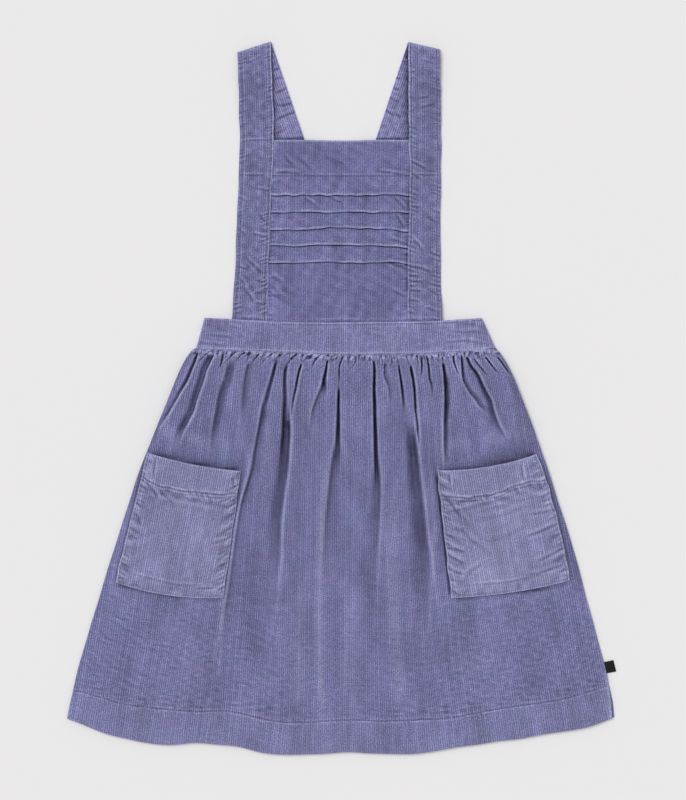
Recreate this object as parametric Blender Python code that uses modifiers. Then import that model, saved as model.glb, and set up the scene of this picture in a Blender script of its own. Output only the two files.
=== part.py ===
"""A child's pinafore dress in fine corduroy, laid flat on its back.

Sizes here are millimetres, and vertices are placed in metres with +Z up. The origin is on the surface that
the dress lies on, below the middle of its outline. +Y points to the shoulders. Left and right are as seen
from above, looking at the front of the dress.

From the surface up, the layers are: the back straps, the back waistband and the back skirt panel, then the
bib, the front straps, the front waistband and the front skirt panel, and the two pockets on that panel.
"""

import math
from bisect import bisect_right
from collections import namedtuple

import bmesh
import bpy

MM = 0.001

# Cloth
WALL = 1.4  # one layer of corduroy
DOUBLE = 2.3  # a strap or a waistband, which has both its edges turned in
GAP = 0.3  # between pieces that are sewn together or lie on each other
STRAP_LIFT = DOUBLE + 2 * GAP  # how far a strap lifts another strap that crosses it
FRONT_LIFT = 3.2  # how far a strap or the back waistband lifts the softer front layer
STRAP_SAG = 20.0  # a crossing strap is back on the surface this far from the strap under it
FRONT_SAG = 28.0  # and so is the front layer

# Waistband: its two long edges
Point = namedtuple("Point", "x y")
BAND_TOP = (
    Point(x=-125.4, y=74.1),
    Point(x=-84.6, y=72.2),
    Point(x=-57.0, y=70.4),
    Point(x=-5.5, y=69.8),
    Point(x=59.8, y=70.7),
    Point(x=89.2, y=71.3),
    Point(x=129.4, y=74.1),
)
BAND_BOTTOM = (
    Point(x=-133.4, y=45.2),
    Point(x=-61.6, y=42.8),
    Point(x=-0.9, y=40.4),
    Point(x=54.3, y=40.7),
    Point(x=91.1, y=41.9),
    Point(x=127.9, y=44.4),
    Point(x=141.7, y=46.4),
)

# Skirt: side edges by height, hem edge by its place across
Sides = namedtuple("Sides", "y left right")
SKIRT_SIDES = (
    Sides(y=45.6, left=-134.4, right=142.9),
    Sides(y=40.0, left=-140.4, right=147.4),
    Sides(y=30.8, left=-145.9, right=152.6),
    Sides(y=17.0, left=-152.4, right=159.8),
    Sides(y=-19.8, left=-167.9, right=174.7),
    Sides(y=-75.0, left=-189.1, right=193.7),
    Sides(y=-130.2, left=-207.0, right=211.0),
    Sides(y=-185.4, left=-224.0, right=225.7),
    Sides(y=-240.6, left=-239.8, right=240.9),
    Sides(y=-277.4, left=-249.2, right=249.4),
    Sides(y=-294.2, left=-251.7, right=251.2),
)
HEM = (
    Point(x=-251.7, y=-294.2),
    Point(x=-220.0, y=-307.0),
    Point(x=-187.0, y=-315.7),
    Point(x=-160.0, y=-318.7),
    Point(x=-130.0, y=-317.1),
    Point(x=-100.0, y=-319.8),
    Point(x=-66.0, y=-327.0),
    Point(x=-32.0, y=-327.7),
    Point(x=8.0, y=-325.5),
    Point(x=45.0, y=-327.5),
    Point(x=75.0, y=-326.3),
    Point(x=111.0, y=-320.6),
    Point(x=166.0, y=-312.7),
    Point(x=222.0, y=-303.8),
    Point(x=251.2, y=-293.5),
)
BAND_TOP_MIDDLE = BAND_TOP[3].y
BACK_INSET = 0.8  # the back panel stays this far inside the front one
INSET_START = 0.1  # from this far down, as a share, the whole inset is there
SEAM_REVEAL = 2.0  # at the right end of the hem it shows by this much instead
REVEAL_START = 0.86

# How high the front panel stands above its lowest folds, and the back panel's folds above the surface.
# down is 0 at the waist seam and 1 at the hem.
Rise = namedtuple("Rise", "down front back")
SKIRT_RISE = (
    Rise(down=0.0, front=0.7, back=0.8),
    Rise(down=0.02, front=4.6, back=2.2),
    Rise(down=0.05, front=7.2, back=2.7),
    Rise(down=0.15, front=7.4, back=2.4),
    Rise(down=0.30, front=6.2, back=1.6),
    Rise(down=0.45, front=4.4, back=0.8),
    Rise(down=0.62, front=2.8, back=0.0),
    Rise(down=0.80, front=1.8, back=0.0),
    Rise(down=1.0, front=0.9, back=0.0),
)
SIDE_ROLL = 12.0  # the front panel comes down to the side seam over this width

# Gathers: small regular pleats at the waist seam, of both panels
GATHERS = 48
GATHER_SWAY = ((7, 0.35), (17, 0.2))  # waves across, and how many gathers each moves them
GATHER_HEIGHT = 0.6
GATHER_END = 0.07
BACK_GATHERS = 20

# Folds that run on from the gathers. The first three columns say how far across the skirt a fold lies at
# its top, middle and end, start and end how far down it runs, depth how much of the rise it takes away,
# and width how wide it is at its bottom, in millimetres.
Fold = namedtuple("Fold", "top middle low start end depth width")
FRONT_FOLDS = (
    Fold(top=0.024, middle=0.020, low=0.010, start=0.0, end=0.26, depth=0.45, width=5.0),
    Fold(top=0.078, middle=0.085, low=0.080, start=0.0, end=0.28, depth=0.75, width=5.0),
    Fold(top=0.148, middle=0.158, low=0.174, start=0.0, end=0.27, depth=0.50, width=4.5),
    Fold(top=0.200, middle=0.210, low=0.222, start=0.0, end=0.20, depth=0.35, width=4.5),
    Fold(top=0.287, middle=0.266, low=0.262, start=0.0, end=0.86, depth=0.70, width=6.0),
    Fold(top=0.318, middle=0.352, low=0.358, start=0.0, end=0.84, depth=0.85, width=6.0),
    Fold(top=0.363, middle=0.358, low=0.353, start=0.0, end=0.22, depth=0.50, width=4.0),
    Fold(top=0.448, middle=0.443, low=0.440, start=0.0, end=0.15, depth=0.50, width=4.0),
    Fold(top=0.482, middle=0.490, low=0.494, start=0.02, end=0.58, depth=0.80, width=6.0),
    Fold(top=0.592, middle=0.578, low=0.552, start=0.0, end=0.76, depth=0.80, width=6.0),
    Fold(top=0.622, middle=0.627, low=0.632, start=0.0, end=0.13, depth=0.35, width=4.0),
    Fold(top=0.668, middle=0.672, low=0.672, start=0.0, end=0.90, depth=0.80, width=6.5),
    Fold(top=0.706, middle=0.697, low=0.686, start=0.0, end=0.24, depth=0.45, width=4.0),
    Fold(top=0.761, middle=0.754, low=0.749, start=0.0, end=0.14, depth=0.40, width=4.0),
    Fold(top=0.806, middle=0.780, low=0.752, start=0.0, end=0.30, depth=0.80, width=5.5),
    Fold(top=0.850, middle=0.845, low=0.842, start=0.0, end=0.08, depth=0.40, width=3.5),
    Fold(top=0.884, middle=0.897, low=0.912, start=0.0, end=0.21, depth=0.70, width=5.0),
    Fold(top=0.946, middle=0.952, low=0.958, start=0.0, end=0.09, depth=0.40, width=4.0),
)
FOLD_FADE_IN = 0.03
FOLD_FADE_OUT = 0.35  # share of a fold's length over which it ends
FOLD_SPREAD = 1.2  # how much wider a fold grows for each unit that it runs down

# Straps. shoulder_outer and shoulder_inner are the heights of the two top corners.
STRAP_WIDTH = 30.4
Strap = namedtuple("Strap", "side shoulder_outer shoulder_inner crosses_over middle_x lean bend")
STRAPS = (
    Strap("left", 317.9, 327.9, False, middle_x=-49.5, lean=0.342, bend=3.8e-4),
    Strap("right", 320.8, 327.4, True, middle_x=47.8, lean=-0.332, bend=-3.8e-4),
)
BEND_START = 237.8  # middle_x is a back strap's middle here, and below here it bends inwards
Edges = namedtuple("Edges", "y outer inner")
FRONT_STRAP_EDGES = {
    "left": (
        Edges(y=72.2, outer=-100.4, inner=-67.5),
        Edges(y=82.0, outer=-99.6, inner=-67.5),
        Edges(y=99.8, outer=-98.4, inner=-67.4),
        Edges(y=127.4, outer=-97.0, inner=-66.4),
        Edges(y=164.2, outer=-95.8, inner=-64.9),
        Edges(y=201.0, outer=-94.2, inner=-63.2),
        Edges(y=237.8, outer=-93.2, inner=-61.4),
        Edges(y=293.0, outer=-94.2, inner=-63.2),
        Edges(y=327.9, outer=-95.6, inner=-64.6),
    ),
    "right": (
        Edges(y=72.2, outer=93.1, inner=61.3),
        Edges(y=82.0, outer=92.5, inner=61.3),
        Edges(y=127.4, outer=91.5, inner=61.4),
        Edges(y=164.2, outer=91.4, inner=62.4),
        Edges(y=201.0, outer=91.8, inner=63.0),
        Edges(y=237.8, outer=92.1, inner=62.3),
        Edges(y=293.0, outer=91.2, inner=61.9),
        Edges(y=327.4, outer=90.6, inner=61.7),
    ),
}

# Bib, with its tucks counted from the top
BIB_TOP = 237.3
BIB_HEM = 33.5
TUCKS = 5
FIRST_TUCK = 186.8  # height of the first tuck's lower edge
TUCK_PITCH = 15.4
TUCK_RISE = 1.9
TUCK_LIP = 0.8  # how steeply a tuck drops back to the cloth under it
BIB_HEM_RISE = 0.7

# Patch pockets: corners from the top left, clockwise, and how far the edges between them bow out
Pocket = namedtuple("Pocket", "side corners top_bow right_bow bottom_bow left_bow")
POCKETS = (
    Pocket(
        "left",
        (Point(-177.6, -49.6), Point(-91.6, -66.4), Point(-107.8, -182.6), Point(-207.0, -168.8)),
        top_bow=-2.4,
        right_bow=0.0,
        bottom_bow=5.0,
        left_bow=0.0,
    ),
    Pocket(
        "right",
        (Point(87.8, -65.8), Point(180.0, -50.8), Point(210.0, -167.0), Point(101.2, -183.2)),
        top_bow=-4.0,
        right_bow=3.2,
        bottom_bow=3.0,
        left_bow=0.0,
    ),
)
POCKET_LIFT = 0.5  # clearance between a pocket's stitched edges and the skirt
POCKET_PUFF = 1.6
POCKET_MOUTH = 2.2  # how far the open top edge stands off the skirt
UNDER_POCKET = 1.2  # height that the skirt panel keeps under a pocket
COVER_MARGIN = 15.0
COVER_FADE = 8.0

# Tape label in the right side seam
LABEL_LENGTH = 9.0  # out from the seam
LABEL_WIDTH = 10.4  # along the seam
LABEL_WALL = 1.0
LABEL_Y = -242.4  # its upper corner at the seam
LABEL_TILT = 12.0  # degrees

# Mesh density
BIB_COLUMNS = 14
BIB_PLAIN_ROWS = 6  # below the lowest tuck
STRAP_COLUMNS = 3
FRONT_STRAP_ROWS = 26
LOWER_STRAP_ROWS = 14
UPPER_STRAP_ROWS = 40
BAND_COLUMNS = 30
BAND_ROWS = 2
POCKET_COLUMNS = 10
POCKET_ROWS = 10
FRONT_ROWS = (0, 0.008, 0.02, 0.036, 0.057, 0.085, 0.12, 0.165, 0.205, 0.235, 0.262, 0.29)
FRONT_ROWS += (0.33, 0.39, 0.46, 0.53, 0.585, 0.615, 0.65, 0.71, 0.80, 0.90, 1)
BACK_ROWS = (0, 0.02, 0.057, 0.12, 0.22, 0.36, 0.52, 0.61, 1)

# Rounds that the two searches below take
SHARE_ROUNDS = 12
HALVINGS = 30

LILAC = (0.162, 0.162, 0.325)
LILAC_LIGHT = (0.215, 0.215, 0.375)
BLACK = (0.012, 0.012, 0.014)


def lerp(start, end, share):
    return start + (end - start) * share


def even_steps(count):
    return [i / count for i in range(count + 1)]


def smooth(share):
    """0 to 1 with soft ends, for a share that may lie outside them."""
    share = min(max(share, 0.0), 1.0)
    return share * share * (3 - 2 * share)


def smooth_curve(table, across, value):
    """A function that runs softly through one column of a table, as another column goes up."""
    rows = sorted(table, key=lambda row: getattr(row, across))
    knots = [getattr(row, across) for row in rows]
    values = [getattr(row, value) for row in rows]
    last = len(rows) - 1
    slopes = []
    for i in range(last + 1):
        before = max(i - 1, 0)
        after = min(i + 1, last)
        slopes.append((values[after] - values[before]) / (knots[after] - knots[before]))

    def at(place):
        i = min(max(bisect_right(knots, place) - 1, 0), last - 1)
        step = knots[i + 1] - knots[i]
        t = min(max((place - knots[i]) / step, 0.0), 1.0)
        rise = smooth(t)
        leave = t * (1 - t) * (1 - t) * step * slopes[i]
        arrive = t * t * (1 - t) * step * slopes[i + 1]
        return lerp(values[i], values[i + 1], rise) + leave - arrive

    return at


band_top = smooth_curve(BAND_TOP, "x", "y")
band_bottom = smooth_curve(BAND_BOTTOM, "x", "y")
skirt_left = smooth_curve(SKIRT_SIDES, "y", "left")
skirt_right = smooth_curve(SKIRT_SIDES, "y", "right")
hem_edge = smooth_curve(HEM, "x", "y")
front_rise = smooth_curve(SKIRT_RISE, "down", "front")
back_rise = smooth_curve(SKIRT_RISE, "down", "back")
strap_outer = {side: smooth_curve(rows, "y", "outer") for side, rows in FRONT_STRAP_EDGES.items()}
strap_inner = {side: smooth_curve(rows, "y", "inner") for side, rows in FRONT_STRAP_EDGES.items()}


# Straps and what lies on them


def strap_middle(strap, y):
    """Middle line of a back strap at one height."""
    down = BEND_START - y
    return strap.middle_x + strap.lean * down + strap.bend * max(down, 0.0) ** 2


def strap_half_width(strap, y):
    """Half of a back strap's width, measured straight across the dress."""
    slope = strap.lean + 2 * strap.bend * max(BEND_START - y, 0.0)
    return STRAP_WIDTH / 2 * math.hypot(1, slope)


def beside_strap(strap, x, y):
    """How far a place is from the nearest edge of a back strap, or 0 on it."""
    slope = strap.lean + 2 * strap.bend * max(BEND_START - y, 0.0)
    off = abs(x - strap_middle(strap, y)) / math.hypot(1, slope)
    return max(off - STRAP_WIDTH / 2, 0.0)


def carried(strap, x, y, sag):
    """1 on a back strap, and 0 where cloth that lies across it has sagged back to the surface."""
    return 1 - smooth(beside_strap(strap, x, y) / sag)


def front_base(x, y):
    """Underside of the front layer above the waistband: it lies over the straps and the back waistband."""
    straps = FRONT_LIFT * sum(carried(strap, x, y, FRONT_SAG) for strap in STRAPS)
    band = FRONT_LIFT * (1 - smooth((y - band_top(x)) / FRONT_SAG))
    return math.hypot(straps**2, band**2) ** 0.5


def shoulder_y(strap, across):
    """Height of the shoulder edge, for a place from the strap's outer edge, 0, to its inner edge, 1."""
    return lerp(strap.shoulder_outer, strap.shoulder_inner, across)


def outer_share(strap, across):
    """The same place counted from the strap's outer edge, for one counted from the left."""
    return across if strap.side == "left" else 1 - across


# Skirt


def skirt_place(across, down, inset=0.0, reveal=0.0):
    """Place on the outline of the skirt. across runs from the left edge, down from the waist seam."""
    top_left = skirt_left(SKIRT_SIDES[0].y)
    top_right = skirt_right(SKIRT_SIDES[0].y)
    waist = band_bottom(lerp(top_left, top_right, across)) - GAP
    bottom = hem_edge(lerp(HEM[0].x, HEM[-1].x, across))
    left = skirt_left(lerp(SKIRT_SIDES[0].y, SKIRT_SIDES[-1].y, down)) + inset * smooth(down / INSET_START)
    right = skirt_right(lerp(SKIRT_SIDES[0].y, SKIRT_SIDES[-1].y, down)) - reveal
    x = lerp(left, right, across)
    y = lerp(waist, bottom + inset, down)
    return x, y, right - left


def skirt_share(x, y):
    """Where a place lies on the skirt, as shares across and down."""
    across = 0.5
    down = 0.5
    for _ in range(SHARE_ROUNDS):
        left_x, _, width = skirt_place(0, down)
        across = min(max((x - left_x) / width, 0.0), 1.0)
        top_y = skirt_place(across, 0)[1]
        bottom_y = skirt_place(across, 1)[1]
        down = min(max((top_y - y) / (top_y - bottom_y), 0.0), 1.0)
    return across, down


def reveal_at(down):
    """How far the front panel's right edge lies inside the seam, at the end of the hem."""
    return SEAM_REVEAL * smooth((down - REVEAL_START) / (1 - REVEAL_START))


def gather_count(across):
    """Number of gathers to the left of a place, which rises a little unevenly."""
    sway = sum(size * math.sin(2 * math.pi * waves * across) for waves, size in GATHER_SWAY)
    return GATHERS * across + sway


def gather_columns():
    """Places across the skirt of each gather's valley and crest."""
    columns = [0.0]
    for half in range(1, 2 * GATHERS):
        low, high = 0.0, 1.0
        for _ in range(HALVINGS):
            middle = (low + high) / 2
            if gather_count(middle) < half / 2:
                low = middle
            else:
                high = middle
        columns.append(low)
    return columns + [1.0]


def fold_share(fold, across, down, width):
    """How much one fold takes away from the skirt's rise at a place."""
    run = (down - fold.start) / (fold.end - fold.start)
    if not 0 <= run <= 1:
        return 0.0
    middle_pull = fold.middle - (fold.top + fold.low) / 2
    centre = lerp(fold.top, fold.low, run) + 4 * run * (1 - run) * middle_pull
    half = fold.width * (1 + FOLD_SPREAD * down)
    across_it = math.exp(-(((across - centre) * width / half) ** 2))
    fades = smooth((down - fold.start) / FOLD_FADE_IN) * smooth((1 - run) / FOLD_FADE_OUT)
    return fold.depth * fades * across_it


def under_pocket(x, y):
    """1 where a pocket covers the skirt, and 0 away from both."""
    return max(smooth((inside_pocket(pocket, x, y) + COVER_MARGIN) / COVER_FADE) for pocket in POCKETS)


def inside_pocket(pocket, x, y):
    """Distance from a place to the nearest straight side of a pocket, negative outside it."""
    nearest = math.inf
    for i, corner in enumerate(pocket.corners):
        after = pocket.corners[(i + 1) % len(pocket.corners)]
        along_x = after.x - corner.x
        along_y = after.y - corner.y
        side = ((y - corner.y) * along_x - (x - corner.x) * along_y) / math.hypot(along_x, along_y)
        nearest = min(nearest, -side)
    return nearest


def skirt_floor(down):
    """Lowest place that the front panel's underside may reach: just above the back panel."""
    return WALL + back_rise(down) + GAP


def skirt_height(across, down):
    """Top face of the front skirt panel."""
    x, y, width = skirt_place(across, down)
    edge = smooth(min(across, 1 - across) * width / SIDE_ROLL)
    kept = 1.0
    for fold in FRONT_FOLDS:
        kept *= 1 - fold_share(fold, across, down, width)
    gather = -math.cos(2 * math.pi * gather_count(across)) * (1 - smooth(down / GATHER_END))
    loose = front_rise(down) * edge * kept + GATHER_HEIGHT * gather
    rise = lerp(loose, UNDER_POCKET * edge, under_pocket(x, y))
    return skirt_floor(down) + WALL + rise


# Making the pieces


def cloth_material(name, colour):
    material = bpy.data.materials.new(name)
    material.use_nodes = True
    shader = material.node_tree.nodes["Principled BSDF"]
    shader.inputs["Base Color"].default_value = (*colour, 1)
    shader.inputs["Roughness"].default_value = 0.9
    shader.inputs["Metallic"].default_value = 0.0
    return material


def cloth_piece(name, across_steps, up_steps, place, wall, material, grows_up=False):
    """A sheet of cloth as a solid.

    place turns shares across and up the piece into millimetres. It gives the top face, and the wall
    grows down from it, or the underside if grows_up is set.
    """
    mesh = bpy.data.meshes.new(name)
    bm = bmesh.new()
    columns = len(across_steps) - 1
    rows = len(up_steps) - 1
    bmesh.ops.create_grid(bm, x_segments=columns, y_segments=rows, size=0.5)
    for vertex in bm.verts:
        across = across_steps[round((vertex.co.x + 0.5) * columns)]
        up = up_steps[round((vertex.co.y + 0.5) * rows)]
        vertex.co = [size * MM for size in place(across, up)]
    bm.to_mesh(mesh)
    bm.free()
    mesh.materials.append(material)
    mesh.shade_smooth()
    piece = bpy.data.objects.new(name, mesh)
    solidify = piece.modifiers.new("wall", "SOLIDIFY")
    solidify.thickness = wall * MM
    solidify.offset = 1 if grows_up else -1
    return piece


def back_strap(strap, material):
    """A strap from the shoulder seam to the back waistband. One of the two crosses over the other."""
    lower = next(other for other in STRAPS if not other.crosses_over)

    def place(across, up):
        outward = outer_share(strap, across)
        end_y = band_top(strap_middle(strap, BAND_TOP_MIDDLE)) + GAP
        y = lerp(end_y, shoulder_y(strap, outward), up)
        x = strap_middle(strap, y) + (across - 0.5) * 2 * strap_half_width(strap, y)
        z = STRAP_LIFT * carried(lower, x, y, STRAP_SAG) if strap.crosses_over else 0.0
        return x, y, z

    rows = UPPER_STRAP_ROWS if strap.crosses_over else LOWER_STRAP_ROWS
    return cloth_piece(
        f"back_strap_{strap.side}",
        even_steps(STRAP_COLUMNS),
        even_steps(rows),
        place,
        DOUBLE,
        material,
        grows_up=True,
    )


def front_strap(strap, material):
    """A strap from the waistband up the side of the bib to the shoulder seam."""
    outer = strap_outer[strap.side]
    inner = strap_inner[strap.side]

    def place(across, up):
        outward = outer_share(strap, across)
        foot_x = lerp(outer(BAND_TOP_MIDDLE), inner(BAND_TOP_MIDDLE), outward)
        y = lerp(band_top(foot_x) + GAP, shoulder_y(strap, outward), up)
        x = lerp(outer(y), inner(y), outward)
        return x, y, front_base(x, y) + DOUBLE

    return cloth_piece(
        f"front_strap_{strap.side}",
        even_steps(STRAP_COLUMNS),
        even_steps(FRONT_STRAP_ROWS),
        place,
        DOUBLE,
        material,
    )


def tuck_edges():
    return [FIRST_TUCK - i * TUCK_PITCH for i in range(TUCKS)]


def plain_from():
    """Height below which the bib is plain."""
    return tuck_edges()[-1] - TUCK_LIP


def bib_relief(y):
    """Height of the bib's tucks and top hem above its plain cloth."""
    edges = tuck_edges()
    starts = [BIB_TOP - BIB_HEM] + [edge - TUCK_LIP for edge in edges[:-1]]
    if y >= starts[0]:
        return BIB_HEM_RISE * smooth((y - starts[0]) / TUCK_LIP)
    for start, edge in zip(starts, edges):
        if edge <= y <= start:
            return TUCK_RISE * (start - y) / (start - edge)
    return 0.0


def bib_levels():
    """Heights of the bib's rows of vertices: each tuck has its lip, its foot and a row between."""
    edges = tuck_edges()
    levels = [BIB_TOP, BIB_TOP - BIB_HEM / 2, BIB_TOP - BIB_HEM + TUCK_LIP, BIB_TOP - BIB_HEM]
    for edge in edges:
        levels += [(levels[-1] + edge) / 2, edge, edge - TUCK_LIP]
    below = even_steps(BIB_PLAIN_ROWS)[1:]
    levels += [lerp(plain_from(), BAND_TOP_MIDDLE, share) for share in below]
    return levels[::-1]


def bib(material):
    """The front panel between the straps, with a hemmed top edge and horizontal tucks."""
    levels = bib_levels()
    low, high = levels[0], levels[-1]
    left = strap_inner["left"]
    right = strap_inner["right"]

    def place(across, up):
        level = lerp(low, high, up)
        x = lerp(left(level) + GAP, right(level) - GAP, across)
        to_band = band_top(x) + GAP - low
        y = level + to_band * (1 - smooth((level - low) / (plain_from() - low)))
        return x, y, front_base(x, y) + WALL + bib_relief(level)

    ups = [(level - low) / (high - low) for level in levels]
    return cloth_piece("bib", even_steps(BIB_COLUMNS), ups, place, WALL, material)


def waistband(name, base, material):
    """One half of the waistband, lying at one height."""

    def place(across, up):
        left = lerp(BAND_BOTTOM[0].x, BAND_TOP[0].x, up)
        right = lerp(BAND_BOTTOM[-1].x, BAND_TOP[-1].x, up)
        x = lerp(left, right, across)
        foot_x = lerp(BAND_BOTTOM[0].x, BAND_BOTTOM[-1].x, across)
        y = lerp(band_bottom(foot_x), band_top(lerp(BAND_TOP[0].x, BAND_TOP[-1].x, across)), up)
        return x, y, base

    return cloth_piece(
        name, even_steps(BAND_COLUMNS), even_steps(BAND_ROWS), place, DOUBLE, material, grows_up=True
    )


def skirt_front(material):
    def place(across, up):
        down = 1 - up
        x, y, _ = skirt_place(across, down, reveal=reveal_at(down))
        return x, y, skirt_height(across, down)

    ups = [1 - down for down in reversed(FRONT_ROWS)]
    return cloth_piece("skirt_front", gather_columns(), ups, place, WALL, material)


def skirt_back(material):
    """The back panel: flat where it rests, with gathers that rise off the surface below the waist."""

    def place(across, up):
        down = 1 - up
        hidden = BACK_INSET * (1 - reveal_at(down) / SEAM_REVEAL)
        x, y, _ = skirt_place(across, down, inset=BACK_INSET, reveal=hidden)
        groove = (1 - math.cos(2 * math.pi * BACK_GATHERS * across)) / 2
        return x, y, back_rise(down) * groove

    ups = [1 - down for down in reversed(BACK_ROWS)]
    return cloth_piece(
        "skirt_back", even_steps(2 * BACK_GATHERS), ups, place, WALL, material, grows_up=True
    )


def bowed(start, end, bow, share):
    """Place on an edge from start to end that bows out by a distance to its left."""
    length = math.hypot(end.x - start.x, end.y - start.y)
    off = 4 * share * (1 - share) * bow
    x = lerp(start.x, end.x, share) - (end.y - start.y) / length * off
    y = lerp(start.y, end.y, share) + (end.x - start.x) / length * off
    return Point(x, y)


def patch_pocket(pocket, material):
    """A pocket laid on the front skirt panel, a little open along its top edge."""
    top_left, top_right, low_right, low_left = pocket.corners

    def place(across, up):
        top = bowed(top_left, top_right, pocket.top_bow, across)
        bottom = bowed(low_left, low_right, -pocket.bottom_bow, across)
        left = bowed(low_left, top_left, pocket.left_bow, up)
        right = bowed(low_right, top_right, -pocket.right_bow, up)
        straight_left = lerp(low_left.x, top_left.x, up)
        straight_right = lerp(low_right.x, top_right.x, up)
        side_x = lerp(left.x - straight_left, right.x - straight_right, across)
        x = lerp(bottom.x, top.x, up) + side_x
        y = lerp(bottom.y, top.y, up)
        belly = math.sin(math.pi * across)
        stand_off = belly * (POCKET_PUFF * math.sin(math.pi * up) + POCKET_MOUTH * up**4)
        return x, y, skirt_height(*skirt_share(x, y)) + POCKET_LIFT + WALL + stand_off

    return cloth_piece(
        f"pocket_{pocket.side}",
        even_steps(POCKET_COLUMNS),
        even_steps(POCKET_ROWS),
        place,
        WALL,
        material,
    )


def side_label(material):
    """A short folded tape that stands out of the right side seam."""
    tilt = math.radians(LABEL_TILT)

    def place(across, up):
        out = across * LABEL_LENGTH
        seam_y = LABEL_Y - (1 - up) * LABEL_WIDTH
        x = skirt_right(seam_y) + GAP + out * math.cos(tilt)
        return x, seam_y + out * math.sin(tilt), 0.0

    return cloth_piece(
        "side_label", even_steps(1), even_steps(1), place, LABEL_WALL, material, grows_up=True
    )


def clear_scene():
    for piece in list(bpy.context.scene.objects):
        bpy.data.objects.remove(piece, do_unlink=True)


def main():
    clear_scene()
    corduroy = cloth_material("lilac_corduroy", LILAC)
    pocket_corduroy = cloth_material("lilac_corduroy_pocket", LILAC_LIGHT)
    tape = cloth_material("black_tape", BLACK)
    pieces = [
        waistband("waistband_back", 0.0, corduroy),
        waistband("waistband_front", DOUBLE + GAP, corduroy),
        skirt_back(corduroy),
        skirt_front(corduroy),
        bib(corduroy),
        side_label(tape),
    ]
    pieces += [back_strap(strap, corduroy) for strap in STRAPS]
    pieces += [front_strap(strap, corduroy) for strap in STRAPS]
    pieces += [patch_pocket(pocket, pocket_corduroy) for pocket in POCKETS]

    dress = bpy.data.collections.new("pinafore_dress")
    bpy.context.scene.collection.children.link(dress)
    origin = bpy.data.objects.new("pinafore_dress_origin", None)
    dress.objects.link(origin)
    for piece in pieces:
        dress.objects.link(piece)
        piece.parent = origin


main()
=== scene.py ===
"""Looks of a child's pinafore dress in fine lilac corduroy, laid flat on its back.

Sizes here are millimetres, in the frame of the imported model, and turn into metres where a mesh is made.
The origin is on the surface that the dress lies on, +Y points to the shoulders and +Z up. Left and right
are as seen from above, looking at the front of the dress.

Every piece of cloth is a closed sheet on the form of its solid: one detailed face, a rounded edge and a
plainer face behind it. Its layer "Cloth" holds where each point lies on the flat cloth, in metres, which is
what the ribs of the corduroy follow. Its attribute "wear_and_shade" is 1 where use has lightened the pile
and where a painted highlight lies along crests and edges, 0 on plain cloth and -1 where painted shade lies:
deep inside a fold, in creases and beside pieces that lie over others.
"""

import math
from collections import namedtuple

import bpy
import numpy as np
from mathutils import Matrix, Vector
from mathutils.bvhtree import BVHTree


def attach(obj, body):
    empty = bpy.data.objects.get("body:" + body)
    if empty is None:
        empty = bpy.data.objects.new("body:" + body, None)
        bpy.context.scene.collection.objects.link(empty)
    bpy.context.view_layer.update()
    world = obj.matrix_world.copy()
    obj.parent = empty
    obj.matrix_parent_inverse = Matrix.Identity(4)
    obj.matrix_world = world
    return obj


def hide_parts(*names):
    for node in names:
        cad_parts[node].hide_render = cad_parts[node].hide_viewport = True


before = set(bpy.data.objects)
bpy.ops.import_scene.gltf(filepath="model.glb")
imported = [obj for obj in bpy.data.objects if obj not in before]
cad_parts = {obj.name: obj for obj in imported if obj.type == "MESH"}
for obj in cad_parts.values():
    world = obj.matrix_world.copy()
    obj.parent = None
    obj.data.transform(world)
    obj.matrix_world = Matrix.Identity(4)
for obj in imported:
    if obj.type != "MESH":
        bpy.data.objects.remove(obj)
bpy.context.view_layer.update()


def table(row, *rows):
    """A table with named columns, from rows that hold their values alone."""
    return tuple(row(*values) for values in rows)


MM = 0.001
TAU = 2 * math.pi

# Cloth
WALL = 1.4
DOUBLE = 2.3  # a strap or a waistband, which has both its edges turned in
GAP = 0.3
STRAP_LIFT = DOUBLE + 2 * GAP
FRONT_LIFT = 3.2
STRAP_SAG = 20.0
FRONT_SAG = 28.0
TUCKED_IN = 2.5  # how far a piece runs on inside the one that it is sewn into
TUCKED_WALL = 0.8  # its thickness there
BACK_FOOT = 0.7  # height of the back pieces' underside inside the back waistband
WALE = 1.94  # from one rib of the corduroy to the next
TUFT = 1.0  # length of one tuft of pile along a rib
FOLD_SHADE_TONE = 0.12  # colour of the painted shade deep in a fold, as a share of that between two ribs

# Outlines, within 2 mm of those of the solids
Point = namedtuple("Point", "x y")
BAND_TOP = table(
    Point,
    (-125.4, 74.1), (-84.6, 72.2), (-57, 70.4), (-5.5, 69.8), (59.8, 70.7), (89.2, 71.3), (129.4, 74.1),
)
BAND_LEVEL = 70.5  # height of the waistband's upper edge at the bib
BAND_BOTTOM = table(
    Point,
    (-133.4, 45.2), (-61.6, 42.8), (-0.9, 40.4), (54.3, 40.7), (91.1, 41.9), (127.9, 44.4), (141.7, 46.4),
)
Sides = namedtuple("Sides", "y left right")
SKIRT_SIDES = table(
    Sides,
    (45.6, -136.6, 142.9), (40, -140.9, 147.2), (30.8, -145.9, 152.6), (17, -151.8, 159.1),
    (-19.8, -167.1, 173.9), (-75, -188.4, 193), (-130.2, -206.2, 211), (-185.4, -222.9, 225.7),
    (-240.6, -239.6, 240.9), (-277.4, -248.3, 249.4), (-294.2, -251.7, 251.2),
)
HEM = table(
    Point,
    (-251.7, -294.2), (-220, -306.1), (-187, -314.8), (-160, -317.8), (-130, -316.2), (-100, -318.9),
    (-66, -326.1), (-32, -326.8), (8, -324.6), (45, -326.6), (75, -325.4), (111, -319.7), (166, -311.8),
    (222, -302.9), (251.2, -293.5),
)
SKIRT_LENGTH = 368.0  # from the waist seam to the hem's edge
BACK_INSET = 0.8  # how far the back panel's edge lies inside the front one's
INSET_START = 0.1
SEAM_REVEAL = 2.0
REVEAL_START = 0.86

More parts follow.
